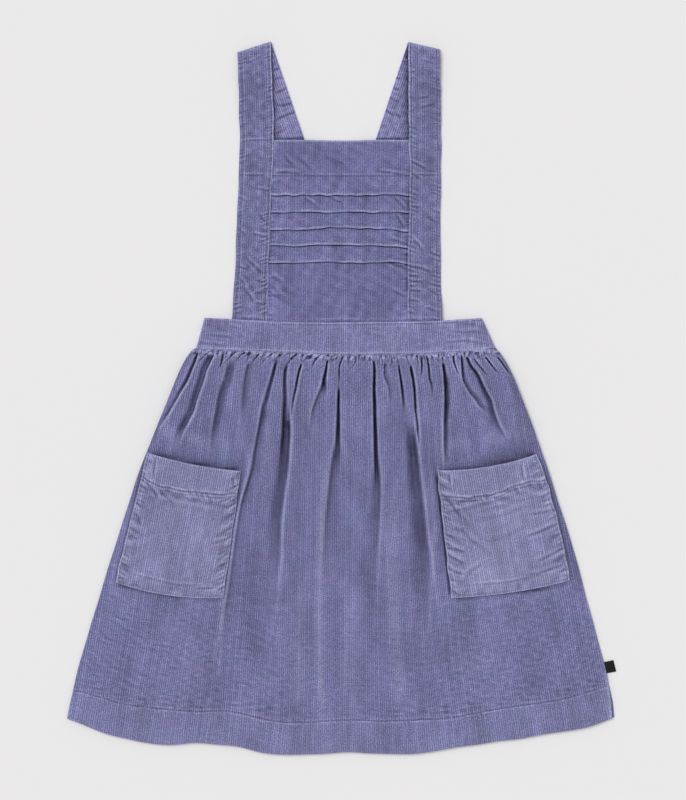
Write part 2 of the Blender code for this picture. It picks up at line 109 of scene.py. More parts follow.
# How high the front panel stands, and the back panel's folds off the surface, from waist, 0, to hem, 1
Rise = namedtuple("Rise", "down front back")
SKIRT_RISE = table(
    Rise,
    (0, 2.6, 0.8), (0.006, 4.2, 1.2), (0.02, 6.2, 2.2), (0.05, 7.2, 2.7), (0.15, 7.4, 2.4),
    (0.30, 6.2, 1.6), (0.45, 4.4, 0.8), (0.62, 2.8, 0), (0.80, 1.8, 0), (1, 0.9, 0),
)
HIGHEST_RISE = max(row.front for row in SKIRT_RISE)
SIDE_ROLL = 10.0
BACK_GATHERS = 20

# Straps
STRAP_WIDTH = 30.4
STRAP_FOOT = 70.0  # height at which the straps meet the waistband
# How dark the painted shade on a back strap beside the front one is, and how far that reaches
NECK_SHADE = {"left": (0.35, 3.6), "right": (0.6, 5.0)}
Strap = namedtuple("Strap", "side shoulder_outer shoulder_inner crosses_over middle_x lean bend")
STRAPS = table(
    Strap,
    ("left", 317.9, 327.9, False, -49.5, 0.342, 3.8e-4),
    ("right", 320.8, 327.4, True, 47.8, -0.332, -3.8e-4),
)
BEND_START = 237.8
Edges = namedtuple("Edges", "y outer inner")
FRONT_STRAP_EDGES = {
    "left": table(
        Edges,
        (72.2, -100.4, -67.5), (82, -99.6, -67.5), (99.8, -98.4, -67.4), (127.4, -97, -66.4),
        (164.2, -95.8, -64.9), (201, -94.2, -63.2), (237.8, -93.2, -61.4), (293, -94.2, -63.2),
        (327.9, -95.6, -64.6),
    ),
    "right": table(
        Edges,
        (72.2, 93.1, 61.3), (82, 92.5, 61.3), (127.4, 91.5, 61.4), (164.2, 91.4, 62.4), (201, 91.8, 63),
        (237.8, 92.1, 62.3), (293, 91.2, 61.9), (327.4, 90.6, 61.7),
    ),
}

# Bib
BIB_TOP = 237.3
BIB_HEM = 33.5
BIB_STITCHES = BIB_TOP - BIB_HEM + 0.7  # height of the row along its hem
TUCKS = 5
FIRST_TUCK = 186.8
TUCK_PITCH = 15.4
TUCK_RISE = 2.0
Lip = namedtuple("Lip", "off rise worn")  # one row of a tuck's rolled edge: how far up from it, how high and how much lighter
# A tuck's edge is light, pile lightened by use with a painted highlight, with painted shadow beneath it
TUCK_LIP = table(
    Lip,
    (-1.5, 0.05, -0.4), (-0.8, 0.15, -1), (-0.2, 0.6, -0.9), (-0.5, 1.1, 0.2), (-0.5, 1.6, 0.9),
    (0, 1.95, 1.2), (0.8, 2.05, 0.7),
)
BIB_HEM_RISE = 0.7
BIB_FOOT = 4.0  # its highest underside inside the waistband

# Patch pockets
Pocket = namedtuple("Pocket", "side corners top_bow right_bow bottom_bow left_bow")
POCKETS = table(
    Pocket,
    ("left", table(Point, (-177.6, -49.6), (-91.6, -66.4), (-107.8, -182.6), (-207, -168.8)), -2.4, 0, 5, 0),
    ("right", table(Point, (87.8, -65.8), (180, -50.8), (210, -167), (101.2, -183.2)), -4, 3.2, 3, 0),
)
POCKET_DEPTH = 116.0
POCKET_WIDTHS = (100.0, 90.0)  # at its foot and mouth
UNDER_POCKET = 2.6
POCKET_PUFF = 1.6
POCKET_MOUTH = 2.8
MOUTH_SHADE = ((4.0, 4.5, 5.5, 6.0), (2.5, 4.0, 11.0, 8.0))  # how far up the shade reaches, along each mouth
# How dark the line outside a pocket is, along its top, right, foot and left, each at start, middle and end
EDGE_SHADE = (
    ((0.3, 0.45, 0.5), (0.35, 0.3, 0.3), (0.6, 0.65, 0.7), (0.5, 0.5, 0.6)),
    ((0.5, 0.5, 0.4), (0.55, 0.5, 0.5), (0.75, 0.75, 0.6), (0.9, 1.0, 1.0)),
)
# How far a pocket flattens the skirt beyond its top, right, foot and left
COVER_MARGINS = (27.0, 5.0, 6.0, 7.0)

# Tape label in the right side seam
LABEL_LENGTH = 9.0
LABEL_WIDTH = 10.4
LABEL_WALL = 1.0
LABEL_Y = -242.4
LABEL_TILT = 12.0  # degrees

# Folds of the front skirt panel. line runs down the skirt, depth is the share of the rise that the fold takes
# away at its start and end, left and right are its half widths there, walls how steep its two walls are, 2
# soft and 6 sharp, dark how much painted shade lies inside it at its start and end, fades how far it takes to
# begin and to end, crests how high the cloth swells beside it and how strong the light line along that crest
# is, pile lightened by use with a painted sheen, and hides how much cloth it holds at the waist.
Fold = namedtuple("Fold", "line depth left right walls dark fades crests hides")
FOLDS = table(
    Fold,
    (((-131.1, 42), (-133.6, 34.5), (-137.1, 26.2), (-140.8, 17), (-146.3, 7.8), (-151.8, -1.4),
      (-157.3, -10.6), (-163.5, -19.8), (-168.8, -29), (-172.5, -38)),
     (0.75, 0.6), (1.2, 4.2), (0.9, 1.5), (2, 4), (0.45, 0.25), (2, 24), (0, 0.9), 4),
    (((-117.5, 42), (-121.4, 34.5), (-125.1, 26.2), (-127.7, 17), (-130.8, 7.8), (-133.9, -1.4),
      (-136.4, -10.6), (-141.2, -19.8), (-145.8, -29), (-149, -38.2), (-152.7, -48)),
     (0.8, 0.55), (3, 3.8), (2.6, 2), (2.5, 5), (0.3, 0.3), (6, 26), (0, 0.9), 8),
    (((-107.6, 42), (-109.5, 32.8), (-112.4, 26)),
     (0.6, 0.4), (0.8, 0.8), (0.8, 1.2), (3, 3), (0.4, 0.3), (2, 8), (0.2, 0), 0),
    (((-97.6, 38), (-99.7, 31), (-103.4, 17), (-107.2, 7.8), (-109.8, -1.4), (-111.4, -10.6),
      (-113.6, -19.8), (-115.5, -29), (-116.8, -38.2), (-118.6, -60)),
     (0.65, 0.45), (4, 2.2), (3.6, 4), (3, 2.2), (0.42, 0.25), (12, 40), (0.7, 0), 6),
    (((-82, 36), (-84.5, 29), (-86.4, 20), (-87.6, 10), (-88.6, 0), (-89.6, -12), (-91.5, -30)),
     (0.5, 0.25), (2, 2.2), (3.4, 5), (2.2, 2), (0.3, 0.12), (9, 34), (0.5, 0), 4),
    (((-58.6, 36.5), (-61.2, 26.2), (-63.5, 17), (-66.1, 7.8), (-68.4, -1.4), (-70.8, -10.6),
      (-72.2, -19.8), (-74, -28)),
     (0.75, 0.5), (1.2, 2.3), (1.2, 2.6), (2.6, 3), (0.32, 0), (7, 30), (0.9, 0), 4),
    (((-69.5, 0), (-72.5, -19), (-77.7, -47.4), (-80.6, -65.8), (-91, -102.6), (-99, -157.8),
      (-105.5, -203.8), (-112, -245.2)),
     (0.7, 0.6), (1.8, 3), (3.5, 13), (3, 2), (0.22, 0.05), (16, 50), (1, 0), 6),
    (((-48.4, 33), (-50.9, 25.3), (-51.5, 17), (-51.4, -1.4), (-51.8, -10.6), (-52.2, -29), (-53.4, -47.4),
      (-55, -70)), (0.7, 0.85), (1.3, 2.4), (1.4, 3), (2.6, 2.6), (0.3, 0.5), (9, 34), (0, 0), 0),
    (((-50.6, 0), (-49.4, -29), (-50.6, -47.4), (-52.4, -66), (-55.2, -84.2), (-58.9, -111.8),
      (-60.7, -148.6), (-65.3, -185.4), (-67.2, -231.4)),
     (0.85, 0.75), (3.2, 11), (3, 6), (2.5, 3.2), (0.62, 0.16), (26, 130), (0, 1), 12),
    (((-35.9, 33), (-36.8, 29.9), (-37.9, 26.2), (-40, 17), (-41.2, 9.7), (-42.8, 3), (-44.4, -6),
      (-46, -26)), (0.95, 0.3), (0.95, 0.9), (0.95, 1.1), (3, 3), (0.7, 0.1), (5, 36), (0.2, 0.8), 5),
    (((-12, 36.5), (-13.3, 28), (-14.1, 22.5), (-15, 17), (-15.4, 9.7), (-15.2, -3)),
     (0.97, 0.3), (0.6, 3.4), (0.6, 2.2), (4, 2.5), (1, 0.3), (5, 18), (0.3, 0.2), 0),
    (((-15.2, 20), (-16.8, 12), (-19.8, 3.2), (-24, -8.7), (-25.6, -22), (-26, -36)),
     (0.45, 0.3), (1.2, 2.5), (4, 10), (4, 2), (0.1, 0.05), (8, 30), (0.8, 0), 4),
    (((0.6, 35.5), (-1.4, 29), (-1.9, 8)),
     (0.8, 0.4), (0.6, 0.5), (0.6, 0.5), (4, 4), (1, 0.2), (3, 14), (0.3, 0), 0),
    (((-2, 13), (-2.1, 3.2), (-2.3, -19.8), (-2.6, -38.2), (-2.8, -47.4), (-3.4, -54.7), (-4.6, -78)),
     (1, 0.42), (0.9, 3.2), (0.9, 2.8), (5, 3), (1, 0.12), (12, 40), (0.5, 0.1), 2),
    (((-3.4, -34.2), (-7, -65.8), (-9.8, -93.4), (-12.2, -130.2), (-13.4, -185.4)),
     (0.55, 0.5), (2.2, 4), (5, 14), (2.4, 2), (0.2, 0.08), (20, 90), (0.9, 0), 2),
    (((29.4, 36.5), (30.6, 28), (30.4, 7.8), (30.9, -10.6), (31.3, -29), (31.8, -47.4), (32.5, -65.8),
      (33.2, -90)), (1, 0.6), (1.1, 2), (1.1, 2.4), (5, 4), (1, 0.5), (7, 36), (0.3, 0.1), 8),
    (((33, -45), (33.5, -93.4), (29.6, -148.6), (26, -213.8)),
     (0.6, 0.5), (3.4, 12), (2.2, 5), (2, 3), (0.42, 0.08), (30, 90), (0, 0.4), 2),
    (((40, 35), (40, 21.6), (41.4, 17), (43.7, 11.5), (45.1, 3.2), (46.5, -12)),
     (0.45, 0.25), (0.8, 1.2), (1.8, 3.8), (3, 2), (0.15, 0.1), (5, 24), (0.4, 0), 2),
    (((52.7, 32.5), (53.4, 26.2), (54.9, 17), (56.1, 7.8), (57, -1.4), (58.2, -18)),
     (1, 0.5), (0.8, 1.3), (0.8, 1.7), (4, 3), (0.9, 0.35), (8, 28), (0.6, 0.3), 6),
    (((57.6, -4), (59.5, -16), (62.5, -29), (65, -47.4), (66.8, -65.8), (69.9, -93.4), (72.7, -121),
      (77.3, -157.8), (81.9, -203.8), (84.6, -245.2)),
     (0.9, 0.9), (4.2, 10), (4.6, 7), (2, 4), (0.66, 0.16), (44, 130), (0, 0.8), 6),
    (((63.4, 31.5), (64.9, 23.5), (66.2, 17), (67.3, 7.8), (68.4, -10.6), (69.5, -19.8), (70.4, -29),
      (71.8, -50)), (0.95, 0.45), (1.2, 0.7), (1.2, 0.8), (5, 4), (0.8, 0.25), (6, 26), (0, 0.6), 5),
    (((78.2, 40), (80, 30.8), (81, 18.9), (82.8, 12.4), (85, -4)),
     (0.65, 0.3), (0.8, 1.2), (0.9, 1.6), (4, 3), (0.6, 0.2), (3, 22), (0.4, 0.1), 3),
    (((73.6, 38), (74.1, 29.9), (73.4, 18)),
     (0.7, 0.3), (0.8, 0.9), (0.8, 0.9), (4, 3), (0.7, 0.2), (3, 12), (0.2, 0), 2),
    (((93.2, 34), (94.4, 26.2), (95.6, 17), (96, -1.4), (95.7, -29), (96.1, -47.4), (96.6, -56.6),
      (96, -70)), (0.92, 0.5), (1.3, 1.8), (1.3, 3.2), (4, 2.2), (0.62, 0.06), (6, 14), (1, 0), 10),
    (((94.6, 25), (96.8, 7.8), (97.2, -1.4), (96.4, -24)),
     (0.8, 0.6), (2.2, 1.8), (2.8, 2.6), (5, 2.2), (0.3, 0.2), (12, 20), (0, 0), 0),
    (((103, 40), (103.5, 33.6), (104.9, 29), (108.6, 20)),
     (0.85, 0.5), (0.9, 0.6), (0.9, 0.6), (4, 4), (1, 0.4), (2, 9), (0.2, 0.3), 0),
    (((110.4, 41), (110.9, 30.8), (112.3, 17.5), (115.2, 11), (118.9, 5), (123.5, -0.5), (127.2, -6),
      (131.8, -10.6), (139, -16.5)),
     (0.65, 0.45), (0.9, 1.2), (1.1, 3.6), (4, 2), (0.5, 0.14), (3, 14), (0.5, 0), 5),
    (((115, 39), (116.8, 34.5), (119.6, 29), (123.3, 24.4), (126.5, 18.9), (129.7, 11.5), (133.4, 4.1),
      (136.6, -2.3), (138.6, -10.6), (140.8, -17.9), (144.4, -27.1), (154, -46)),
     (0.85, 0.4), (1, 5.2), (1, 2), (2, 4), (0.8, 0.1), (3, 30), (0, 0.9), 7),
    (((121.4, 37), (125.1, 31.7), (129.7, 26.2), (137, 17)),
     (0.6, 0.3), (0.7, 0.8), (0.7, 0.8), (4, 4), (0.6, 0.3), (3, 12), (0, 0.3), 3),
    (((131.6, 39), (136.2, 32.7), (139.8, 28), (146, 20.5)),
     (0.7, 0.4), (0.8, 0.8), (0.8, 0.8), (4, 4), (0.7, 0.4), (3, 10), (0, 0.3), 3),
    (((142.6, 39), (146.3, 34.5), (150.9, 28), (159, 17)),
     (0.9, 0.6), (1, 1), (1, 1), (4, 4), (0.9, 0.6), (3, 10), (0.9, 0), 2),
)
CREST_LIGHT_WIDTH = (0.65, 1.8)  # of the light line along a crest, pile lightened by use with a painted sheen, at its start and end
# Long soft swells and hollows down the skirt below the folds: line, half width, height and how much lighter
# it is, painted light on a swell and painted shade in a hollow
Band = namedtuple("Band", "line width height worn")
BANDS = table(
    Band,
    (((-34, -150), (-38, -215), (-42, -300)), 7, 0.4, 0.16),
    (((-14.5, -50), (-18.6, -130), (-19.6, -215), (-18, -300)), 3.6, 0.7, 0.34),
    (((6, -150), (8, -215), (10, -300)), 7, 0.5, 0.16),
    (((44, -80), (46, -150), (50, -215), (54, -300)), 6, 0.5, 0.22),
    (((-74, -90), (-78, -150), (-80, -215), (-76, -250)), 10, -0.5, -0.16),
    (((26, -140), (27, -215), (29, -250)), 4.5, -0.4, -0.18),
    (((70, -90), (72, -150), (74, -215)), 8, -0.4, -0.14),
    (((86, -100), (84, -150), (82, -190), (82, -235)), 2.6, 0.4, 0.22),
    (((-105, -175), (-109, -215), (-113, -262)), 1.6, 0.4, 0.2),
    (((-60, -185), (-63, -215), (-72, -235)), 2, 0.3, 0.2),
    (((-140, -190), (-148, -240), (-152, -300)), 22, 0.4, 0.07),
    (((-196, -180), (-205, -240), (-210, -290)), 16, -0.3, -0.05),
    (((122, -190), (128, -240), (130, -300)), 22, 0.4, 0.08),
)
CRINKLE = 4.0  # from one crosswise crinkle of the lower skirt to the next
HIDDEN_SPREAD = 0.3  # how fast the hidden cloth spreads out below a fold's end

# Small gathers at the waist seam, in two sizes: how wide one bulge is, how many times longer, how far down
# they reach, how high they are and how dark the painted shade in the creases between them is
Gathers = namedtuple("Gathers", "width stretch reach height dark seed")
GATHERS = table(
    Gathers,
    (5, 4, 14, 2.2, 0.7, 11),
    (2.9, 2.2, 9, 1.3, 0.62, 15),
)
GATHER_LEAN = 0.5
GATHER_TURN = Point(12.0, 25.0)  # where the gathers change from leaning left to leaning right, and how fast
CREASE_SHARE = 0.16
# Strength of the painted highlights on the small ruffles under the waist seam
RUFFLE_CONTRAST = 0.95

# Creases laid one by one, each along a line, with the height that the cloth swells on its left side
Crease = namedtuple("Crease", "line depth width swell")
LEFT_STRAP_CREASES = table(
    Crease,
    (((-84, 151.8), (-74, 149.6), (-61.6, 145.4)), 0.5, 1.2, 0.5),
    (((-89.5, 131), (-80, 122), (-70.7, 112.6)), 0.5, 1.4, 0.4),
    (((-92, 306), (-81, 309.6), (-68.9, 316.1)), 0.25, 1, 0.2),
    (((-96, 205.4), (-66, 205)), 0.25, 0.8, 0.35),
    (((-94, 236.6), (-64, 237.4)), 0.25, 0.9, 0.25),
    (((-78, 172), (-68, 160)), 0.3, 1.3, 0.3),
    (((-97, 158), (-88, 150)), 0.3, 1.3, 0.3),
    (((-93, 104), (-84, 95), (-80, 86)), 0.35, 1.4, 0.35),
    (((-80, 109), (-68.5, 107)), 0.4, 1, 0.3),
    (((-81, 96.5), (-68.5, 98)), 0.4, 1, 0.3),
    (((-80, 88), (-68.5, 86.5)), 0.35, 1, 0.3),
    (((-96, 122), (-86, 118)), 0.35, 1.2, 0.3),
    (((-97, 114), (-90, 107), (-86, 98)), 0.35, 1.2, 0.35),
    (((-96, 186), (-84, 180)), 0.3, 1.2, 0.3),
    (((-79, 193), (-66, 191)), 0.3, 1, 0.3),
)
RIGHT_STRAP_CREASES = table(
    Crease,
    (((62.5, 218.2), (79.2, 210.5)), 0.5, 1.1, 0.5),
    (((63.4, 207.5), (74.7, 200)), 0.4, 1.1, 0.4),
    (((66, 205.6), (91, 205)), 0.25, 0.8, 0.35),
    (((62, 150), (71, 141.5), (76.5, 133)), 0.45, 1.2, 0.45),
    (((61.5, 121.6), (74, 119.6), (84, 115.4)), 0.6, 1.3, 0.4),
    (((61.8, 113.4), (72, 112)), 0.35, 1, 0.4),
    (((62, 108.6), (77, 106.8)), 0.45, 1.1, 0.5),
    (((62, 103.6), (70, 103)), 0.3, 0.9, 0.3),
    (((62, 99.6), (75, 98.4)), 0.4, 1.1, 0.4),
    (((72, 311), (89, 306)), 0.25, 1.1, 0.2),
    (((62, 299.6), (69, 300.2)), 0.4, 1, 0.15),
    (((70, 275.4), (82, 276.8)), 0.4, 1.1, 0.15),
    (((71, 266), (88, 271)), 0.3, 1.2, 0.2),
    (((61.8, 263.4), (68, 264.8)), 0.35, 1, 0.15),
    (((62.5, 189), (72, 186)), 0.35, 1, 0.3),
    (((63, 177), (74, 176)), 0.35, 1, 0.3),
    (((78, 168), (90, 160)), 0.35, 1.3, 0.35),
    (((80, 136), (91, 131)), 0.35, 1.2, 0.35),
    (((62, 91), (74, 88.5)), 0.35, 1.1, 0.35),
    (((78, 101), (91, 95)), 0.35, 1.3, 0.35),
    (((76, 84), (91, 79)), 0.3, 1.2, 0.3),
)
BIB_CREASES = table(
    Crease,
    (((-64, 206.5), (-50, 207.2), (-34, 205.8)), 0.8, 1.4, 0.5),
    (((32, 208.6), (46, 207), (60.5, 204.9)), 0.6, 1, 0.6),
    (((40, 126.5), (52, 122), (62, 118.8)), 0.9, 1.4, 0.6),
    (((44, 146.8), (62, 141)), 0.5, 1.2, 0.4),
    (((-66, 114), (-52, 105)), 0.4, 1.6, 0.4),
    (((-67, 96), (-50, 92)), 0.35, 1.6, 0.4),
    (((44, 101), (61, 92)), 0.35, 1.5, 0.4),
    (((-54, 224), (-41.5, 211)), 0.4, 1.6, 0.2),
    (((-41, 222), (-23, 205.5)), 0.3, 1.8, 0.2),
    (((-35, 185.3), (-23.5, 176.5)), 0.5, 1.1, 0.4),
    (((-14, 185), (2, 179.4)), 0.4, 1.2, 0.3),
    (((-48, 106), (-36, 98)), 0.2, 1.8, 0.2),
    (((-65, 105.5), (-50, 88)), 0.3, 1.6, 0.3),
    (((48, 185), (60.5, 172.5)), 0.45, 1.3, 0.4),
    (((49.5, 170.5), (59.5, 154)), 0.45, 1.3, 0.4),
    (((-20, 224), (6, 214)), 0.25, 2, 0.2),
    (((0, 112), (14, 103)), 0.15, 2, 0.2),
)
LEFT_NECK_CREASES = table(
    Crease,
    (((-62.6, 301), (-57, 303.2)), 0.6, 1.1, 0.1),
    (((-62.6, 293.4), (-52, 295.4)), 0.35, 1.2, 0.1),
    (((-61, 280.4), (-54.5, 282.8), (-47, 286.4)), 0.55, 1.3, 0.2),
    (((-62, 270.9), (-55, 269.2), (-42, 271)), 0.65, 1.4, 0.2),
    (((-62, 255.2), (-51.5, 259.7), (-40, 264.3)), 0.6, 1.3, 0.2),
    (((-60, 244), (-50, 247)), 0.3, 1.2, 0.1),
)
RIGHT_NECK_CREASES = table(
    Crease,
    (((44, 297.4), (56, 293)), 0.4, 1.2, 0.1),
    (((42, 287), (55, 283.2)), 0.6, 1.2, 0.15),
    (((38.5, 277.4), (56, 272)), 0.4, 1.3, 0.1),
    (((35, 268.8), (44, 263.2), (51, 258.6)), 0.7, 1.2, 0.1),
    (((46, 265), (56, 258)), 0.35, 1.1, 0.1),
)
BAND_CREASES = table(
    Crease,
    (((-74.5, 75.4), (-64, 73.4), (-54, 69.4)), 0.5, 1, 0.5),
    (((-128, 58.5), (-114, 57.6), (-96, 55.6)), 0.3, 1.3, 0.25),
    (((-130, 50.5), (-118, 50), (-102, 47.8)), 0.3, 1.3, 0.25),
    (((-104, 66.5), (-90, 63.5)), 0.2, 1.4, 0.2),
    (((92, 51), (116, 53), (138, 49.6)), 0.3, 1.3, 0.3),
    (((96, 62.5), (112, 60.5), (132, 61.5)), 0.25, 1.4, 0.25),
    (((18, 60), (44, 55.5)), 0.15, 1.6, 0.2),
    (((100, 69), (126, 68)), 0.2, 1.3, 0.2),
)

# Pockets: the line of each turned hem, and creases
POCKET_BANDS = {
    "left": table(
        Point,
        (-182.2, -70.4), (-171.1, -77.4), (-155.5, -81.9), (-141.7, -84.2), (-113.2, -86.9), (-92.3, -85.7),
    ),
    "right": table(
        Point,
        (90.6, -88.1), (115.9, -90.3), (139.8, -86.8), (165.2, -77.6), (186.4, -74.1),
    ),
}
POCKET_CREASES = {
    "left": table(
        Crease,
        (((-169.9, -52.3), (-171.9, -72.3)), 0.7, 1.1, 0.5),
        (((-180.3, -74.1), (-171.9, -84.5), (-166, -94)), 0.8, 1.5, 0.7),
        (((-167.1, -84.5), (-153, -95.8)), 0.5, 1.4, 0.4),
        (((-100, -70), (-97, -84)), 0.5, 1.2, 0.4),
        (((-114, -95.5), (-98, -91)), 0.6, 1.4, 0.5),
        (((-190.5, -105), (-182.2, -117.5)), 0.6, 1.8, 0.6),
        (((-195.5, -124.5), (-185, -130.2)), 0.7, 1.5, 0.6),
        (((-118, -133.6), (-103.5, -128)), 0.6, 1.5, 0.6),
        (((-114, -149), (-104.5, -145)), 0.5, 1.4, 0.5),
        (((-136, -174), (-113, -173.6)), 0.6, 1, 0.4),
        (((-203, -158), (-150, -171), (-108, -172)), 0.3, 1.1, 0.3),
    ),
    "right": table(
        Crease,
        (((99, -67.3), (99.9, -80.8)), 0.8, 1.1, 0.5),
        (((164.1, -58.8), (166.9, -76.1)), 0.5, 1.3, 0.6),
        (((95.5, -90), (103, -99.5), (112.5, -113.8)), 0.8, 1.5, 0.7),
        (((104.5, -97.5), (116, -114.5)), 0.5, 1.4, 0.5),
        (((96, -118), (111.3, -121.3), (128.3, -138.3)), 0.5, 2, 0.5),
        (((96.5, -136), (116, -141.4)), 0.6, 1.5, 0.6),
        (((98, -146.3), (114.2, -151.8)), 0.6, 1.5, 0.6),
        (((99, -158.8), (116, -161.2)), 0.5, 1.4, 0.5),
        (((170, -106.5), (186, -104.5), (202, -100)), 0.5, 1.5, 0.5),
        (((166, -128), (181, -122.5), (204, -112.5)), 0.7, 1.6, 0.7),
        (((176, -151), (188, -145.5), (208, -135.5)), 0.7, 1.6, 0.6),
        (((164, -163.5), (180, -161), (210, -150)), 0.7, 1.6, 0.6),
        (((118, -113), (146, -107.5), (180, -95)), 0.35, 2.6, 0.4),
        (((128, -133), (152, -126), (178, -113)), 0.3, 2.4, 0.4),
        (((110, -170), (119, -158), (132, -150)), 0.4, 1.8, 0.4),
        (((104, -127), (124, -133), (142, -148)), 0.3, 2.2, 0.35),
        (((103, -172), (150, -169), (205, -158)), 0.3, 1.1, 0.3),
    ),
}
# Broad light and dark areas of the pockets
Patch = namedtuple("Patch", "x y reach worn")
POCKET_PATCHES = {
    "left": table(
        Patch,
        (-150, -125, 70, -0.03),
        (-192, -135, 24, -0.08),
        (-168, -86, 18, -0.09),
        (-120, -118, 18, 0.06),
    ),
    "right": table(
        Patch,
        (106, -105, 20, -0.09),
        (118, -140, 14, -0.06),
        (132, -93, 9, -0.1),
        (144, -70, 9, -0.07),
        (146, -162, 20, 0.16),
        (160, -138, 14, -0.05),
        (176, -98, 22, 0.12),
        (196, -148, 14, -0.08),
    ),
}

CREASE_TAPER = 0.3  # share of a crease's length over which it begins and ends

# Seams
STITCH = 2.0  # length of one stitch
STITCH_PITCH = 2.8
STITCH_RADIUS = 0.27
STITCH_SINK = 0.12  # how deep a stitch lies in the cloth
GROOVE = 0.5  # how far a row of stitches pulls the cloth in
GROOVE_WIDTH = 0.7
INNER_STITCHES = 2.2  # distance from a strap's inner edge
OUTER_STITCHES = 3.3
BAND_STITCHES = 1.7  # above the waistband's lower edge
POCKET_STITCHES = 1.9
HEM_LINE = table(
    Point,
    (-240.1, -269.1), (-220.8, -274.6), (-196.9, -281.1), (-162.8, -285.2), (-132.5, -287.5),
    (-105.8, -287), (-88.3, -290.3), (-68.1, -295.3), (-42.3, -297.6), (8.3, -295.3), (34, -296.2),
    (67.2, -295.3), (99.4, -293.5), (130.6, -287.5), (165.6, -282), (201.5, -276.5), (243.3, -264.5),
)
HEM_RISE = 0.7

# Edges of a sheet
RIM_RINGS = 4
SEAM_LEVEL = 0.05  # of a side seam's edge, from the plainer face, 0, to the detailed one, 1
PUCKER_MEAN = 0.3  # taken off all puckers, so that they lie around the height of plain cloth


# Curves and unevenness


def lerp(start, end, share):
    return start + (end - start) * share


def smooth(share):
    """0 to 1 with soft ends, for shares that may lie outside them."""
    share = np.clip(share, 0.0, 1.0)
    return share * share * (3 - 2 * share)


def bump_at(distance, width):
    """1 at no distance, and soft down to 0 around it."""
    return np.exp(-((distance / width) ** 2))


def through(knots, values):
    """A function that runs softly through values at rising knots."""
    knots = np.array(knots, float)
    values = np.array(values, float)
    last = len(knots) - 1
    before = np.maximum(np.arange(last + 1) - 1, 0)
    after = np.minimum(np.arange(last + 1) + 1, last)
    slopes = (values[after] - values[before]) / (knots[after] - knots[before])

    def at(place):
        place = np.asarray(place, float)
        i = np.clip(np.searchsorted(knots, place, side="right") - 1, 0, last - 1)
        step = knots[i + 1] - knots[i]
        t = np.clip((place - knots[i]) / step, 0.0, 1.0)
        leave = t * (1 - t) ** 2 * step * slopes[i]
        arrive = t**2 * (1 - t) * step * slopes[i + 1]
        return lerp(values[i], values[i + 1], smooth(t)) + leave - arrive

    return at


def smooth_curve(rows, across, value):
    """The same for two columns of a table."""
    rows = sorted(rows, key=lambda row: getattr(row, across))
    return through([getattr(row, across) for row in rows], [getattr(row, value) for row in rows])


def waves(x, y, size, seed):
    """Soft uneven swell between about -1 and 1, whose hills are about size apart."""
    dice = np.random.default_rng(seed)
    total = np.zeros(np.broadcast(x, y).shape)
    count = 9
    for _ in range(count):
        turn, phase = dice.uniform(0, TAU, 2)
        length = size * dice.uniform(0.7, 1.5)
        total += np.sin(TAU * (x * math.cos(turn) + y * math.sin(turn)) / length + phase)
    return total / count**0.5


def puckers(along, spacing, seed):
    """Uneven little ridges along a seam, around the height of plain cloth."""
    shift = 0.7 * waves(along, 0.0, 5 * spacing, seed)
    strength = 0.45 + 0.7 * waves(along, 0.0, 4 * spacing, seed + 1)
    ridges = (0.5 + 0.5 * np.cos(TAU * (along / spacing + shift))) ** 1.5
    return ridges * np.clip(strength, 0.0, 1.0) - PUCKER_MEAN


def creased(x, y, creases):
    """Height that a table of creases adds: a trough along each line, with a ridge on its left side."""
    total = np.zeros(np.shape(x))
    for crease in creases:
        line = np.array(crease.line)
        lengths = np.hypot(*np.diff(line, axis=0).T)
        start = 0.0
        nearest = np.full(np.shape(x), np.inf)
        side = np.zeros(np.shape(x))
        along = np.zeros(np.shape(x))
        for (ax, ay), (bx, by), length in zip(line[:-1], line[1:], lengths):
            dx, dy = (bx - ax) / length, (by - ay) / length
            t = np.clip((x - ax) * dx + (y - ay) * dy, 0.0, length)
            away = np.hypot(x - ax - t * dx, y - ay - t * dy)
            closer = away < nearest
            left = np.sign((y - ay) * dx - (x - ax) * dy)
            nearest = np.where(closer, away, nearest)
            side = np.where(closer, away * left, side)
            along = np.where(closer, (start + t) / lengths.sum(), along)
            start += length
        ends = smooth(along / CREASE_TAPER) * smooth((1 - along) / CREASE_TAPER)
        trough = crease.depth * bump_at(side, crease.width)
        ridge = crease.swell * bump_at(side - 2 * crease.width, 1.4 * crease.width)
        total += ends * (ridge - trough)
    return total


band_top = smooth_curve(BAND_TOP, "x", "y")
band_bottom = smooth_curve(BAND_BOTTOM, "x", "y")
skirt_left = smooth_curve(SKIRT_SIDES, "y", "left")
skirt_right = smooth_curve(SKIRT_SIDES, "y", "right")
hem_edge = smooth_curve(HEM, "x", "y")
hem_line = smooth_curve(HEM_LINE, "x", "y")
front_rise = smooth_curve(SKIRT_RISE, "down", "front")
back_rise = smooth_curve(SKIRT_RISE, "down", "back")
strap_outer = {side: smooth_curve(rows, "y", "outer") for side, rows in FRONT_STRAP_EDGES.items()}
strap_inner = {side: smooth_curve(rows, "y", "inner") for side, rows in FRONT_STRAP_EDGES.items()}
pocket_band = {side: smooth_curve(rows, "x", "y") for side, rows in POCKET_BANDS.items()}


# Closed sheets of cloth


def stepped(count, rim):
    """Places from 0 to 1: the edge itself, then count even steps that stay inside a rim."""
    return np.concatenate(([0.0], np.linspace(rim, 1 - rim, count + 1), [1.0]))


def fine_edged(count, rim, width, fine):
    """Places from 0 to 1 with fine steps between a rim and a width at both ends, and even ones between."""
    near = np.linspace(rim, width, fine)
    middle = np.linspace(width, 1 - width, count + 1)[1:-1]
    return np.concatenate(([0.0], near, middle, 1 - near[::-1], [1.0]))


def rimmed(outer, inner, side_level):
    """The outer height with its border set to that of the rounded edge: halfway between inner and outer at
    the foot and head, and at a level from inner, 0, to outer, 1, at the sides."""
    height = outer.copy()
    edge = lerp(inner, outer, 0.5)
    side_edge = lerp(inner, outer, side_level)
    height[0], height[-1] = edge[0], edge[-1]
    height[:, 0], height[:, -1] = side_edge[:, 0], side_edge[:, -1]
    return height


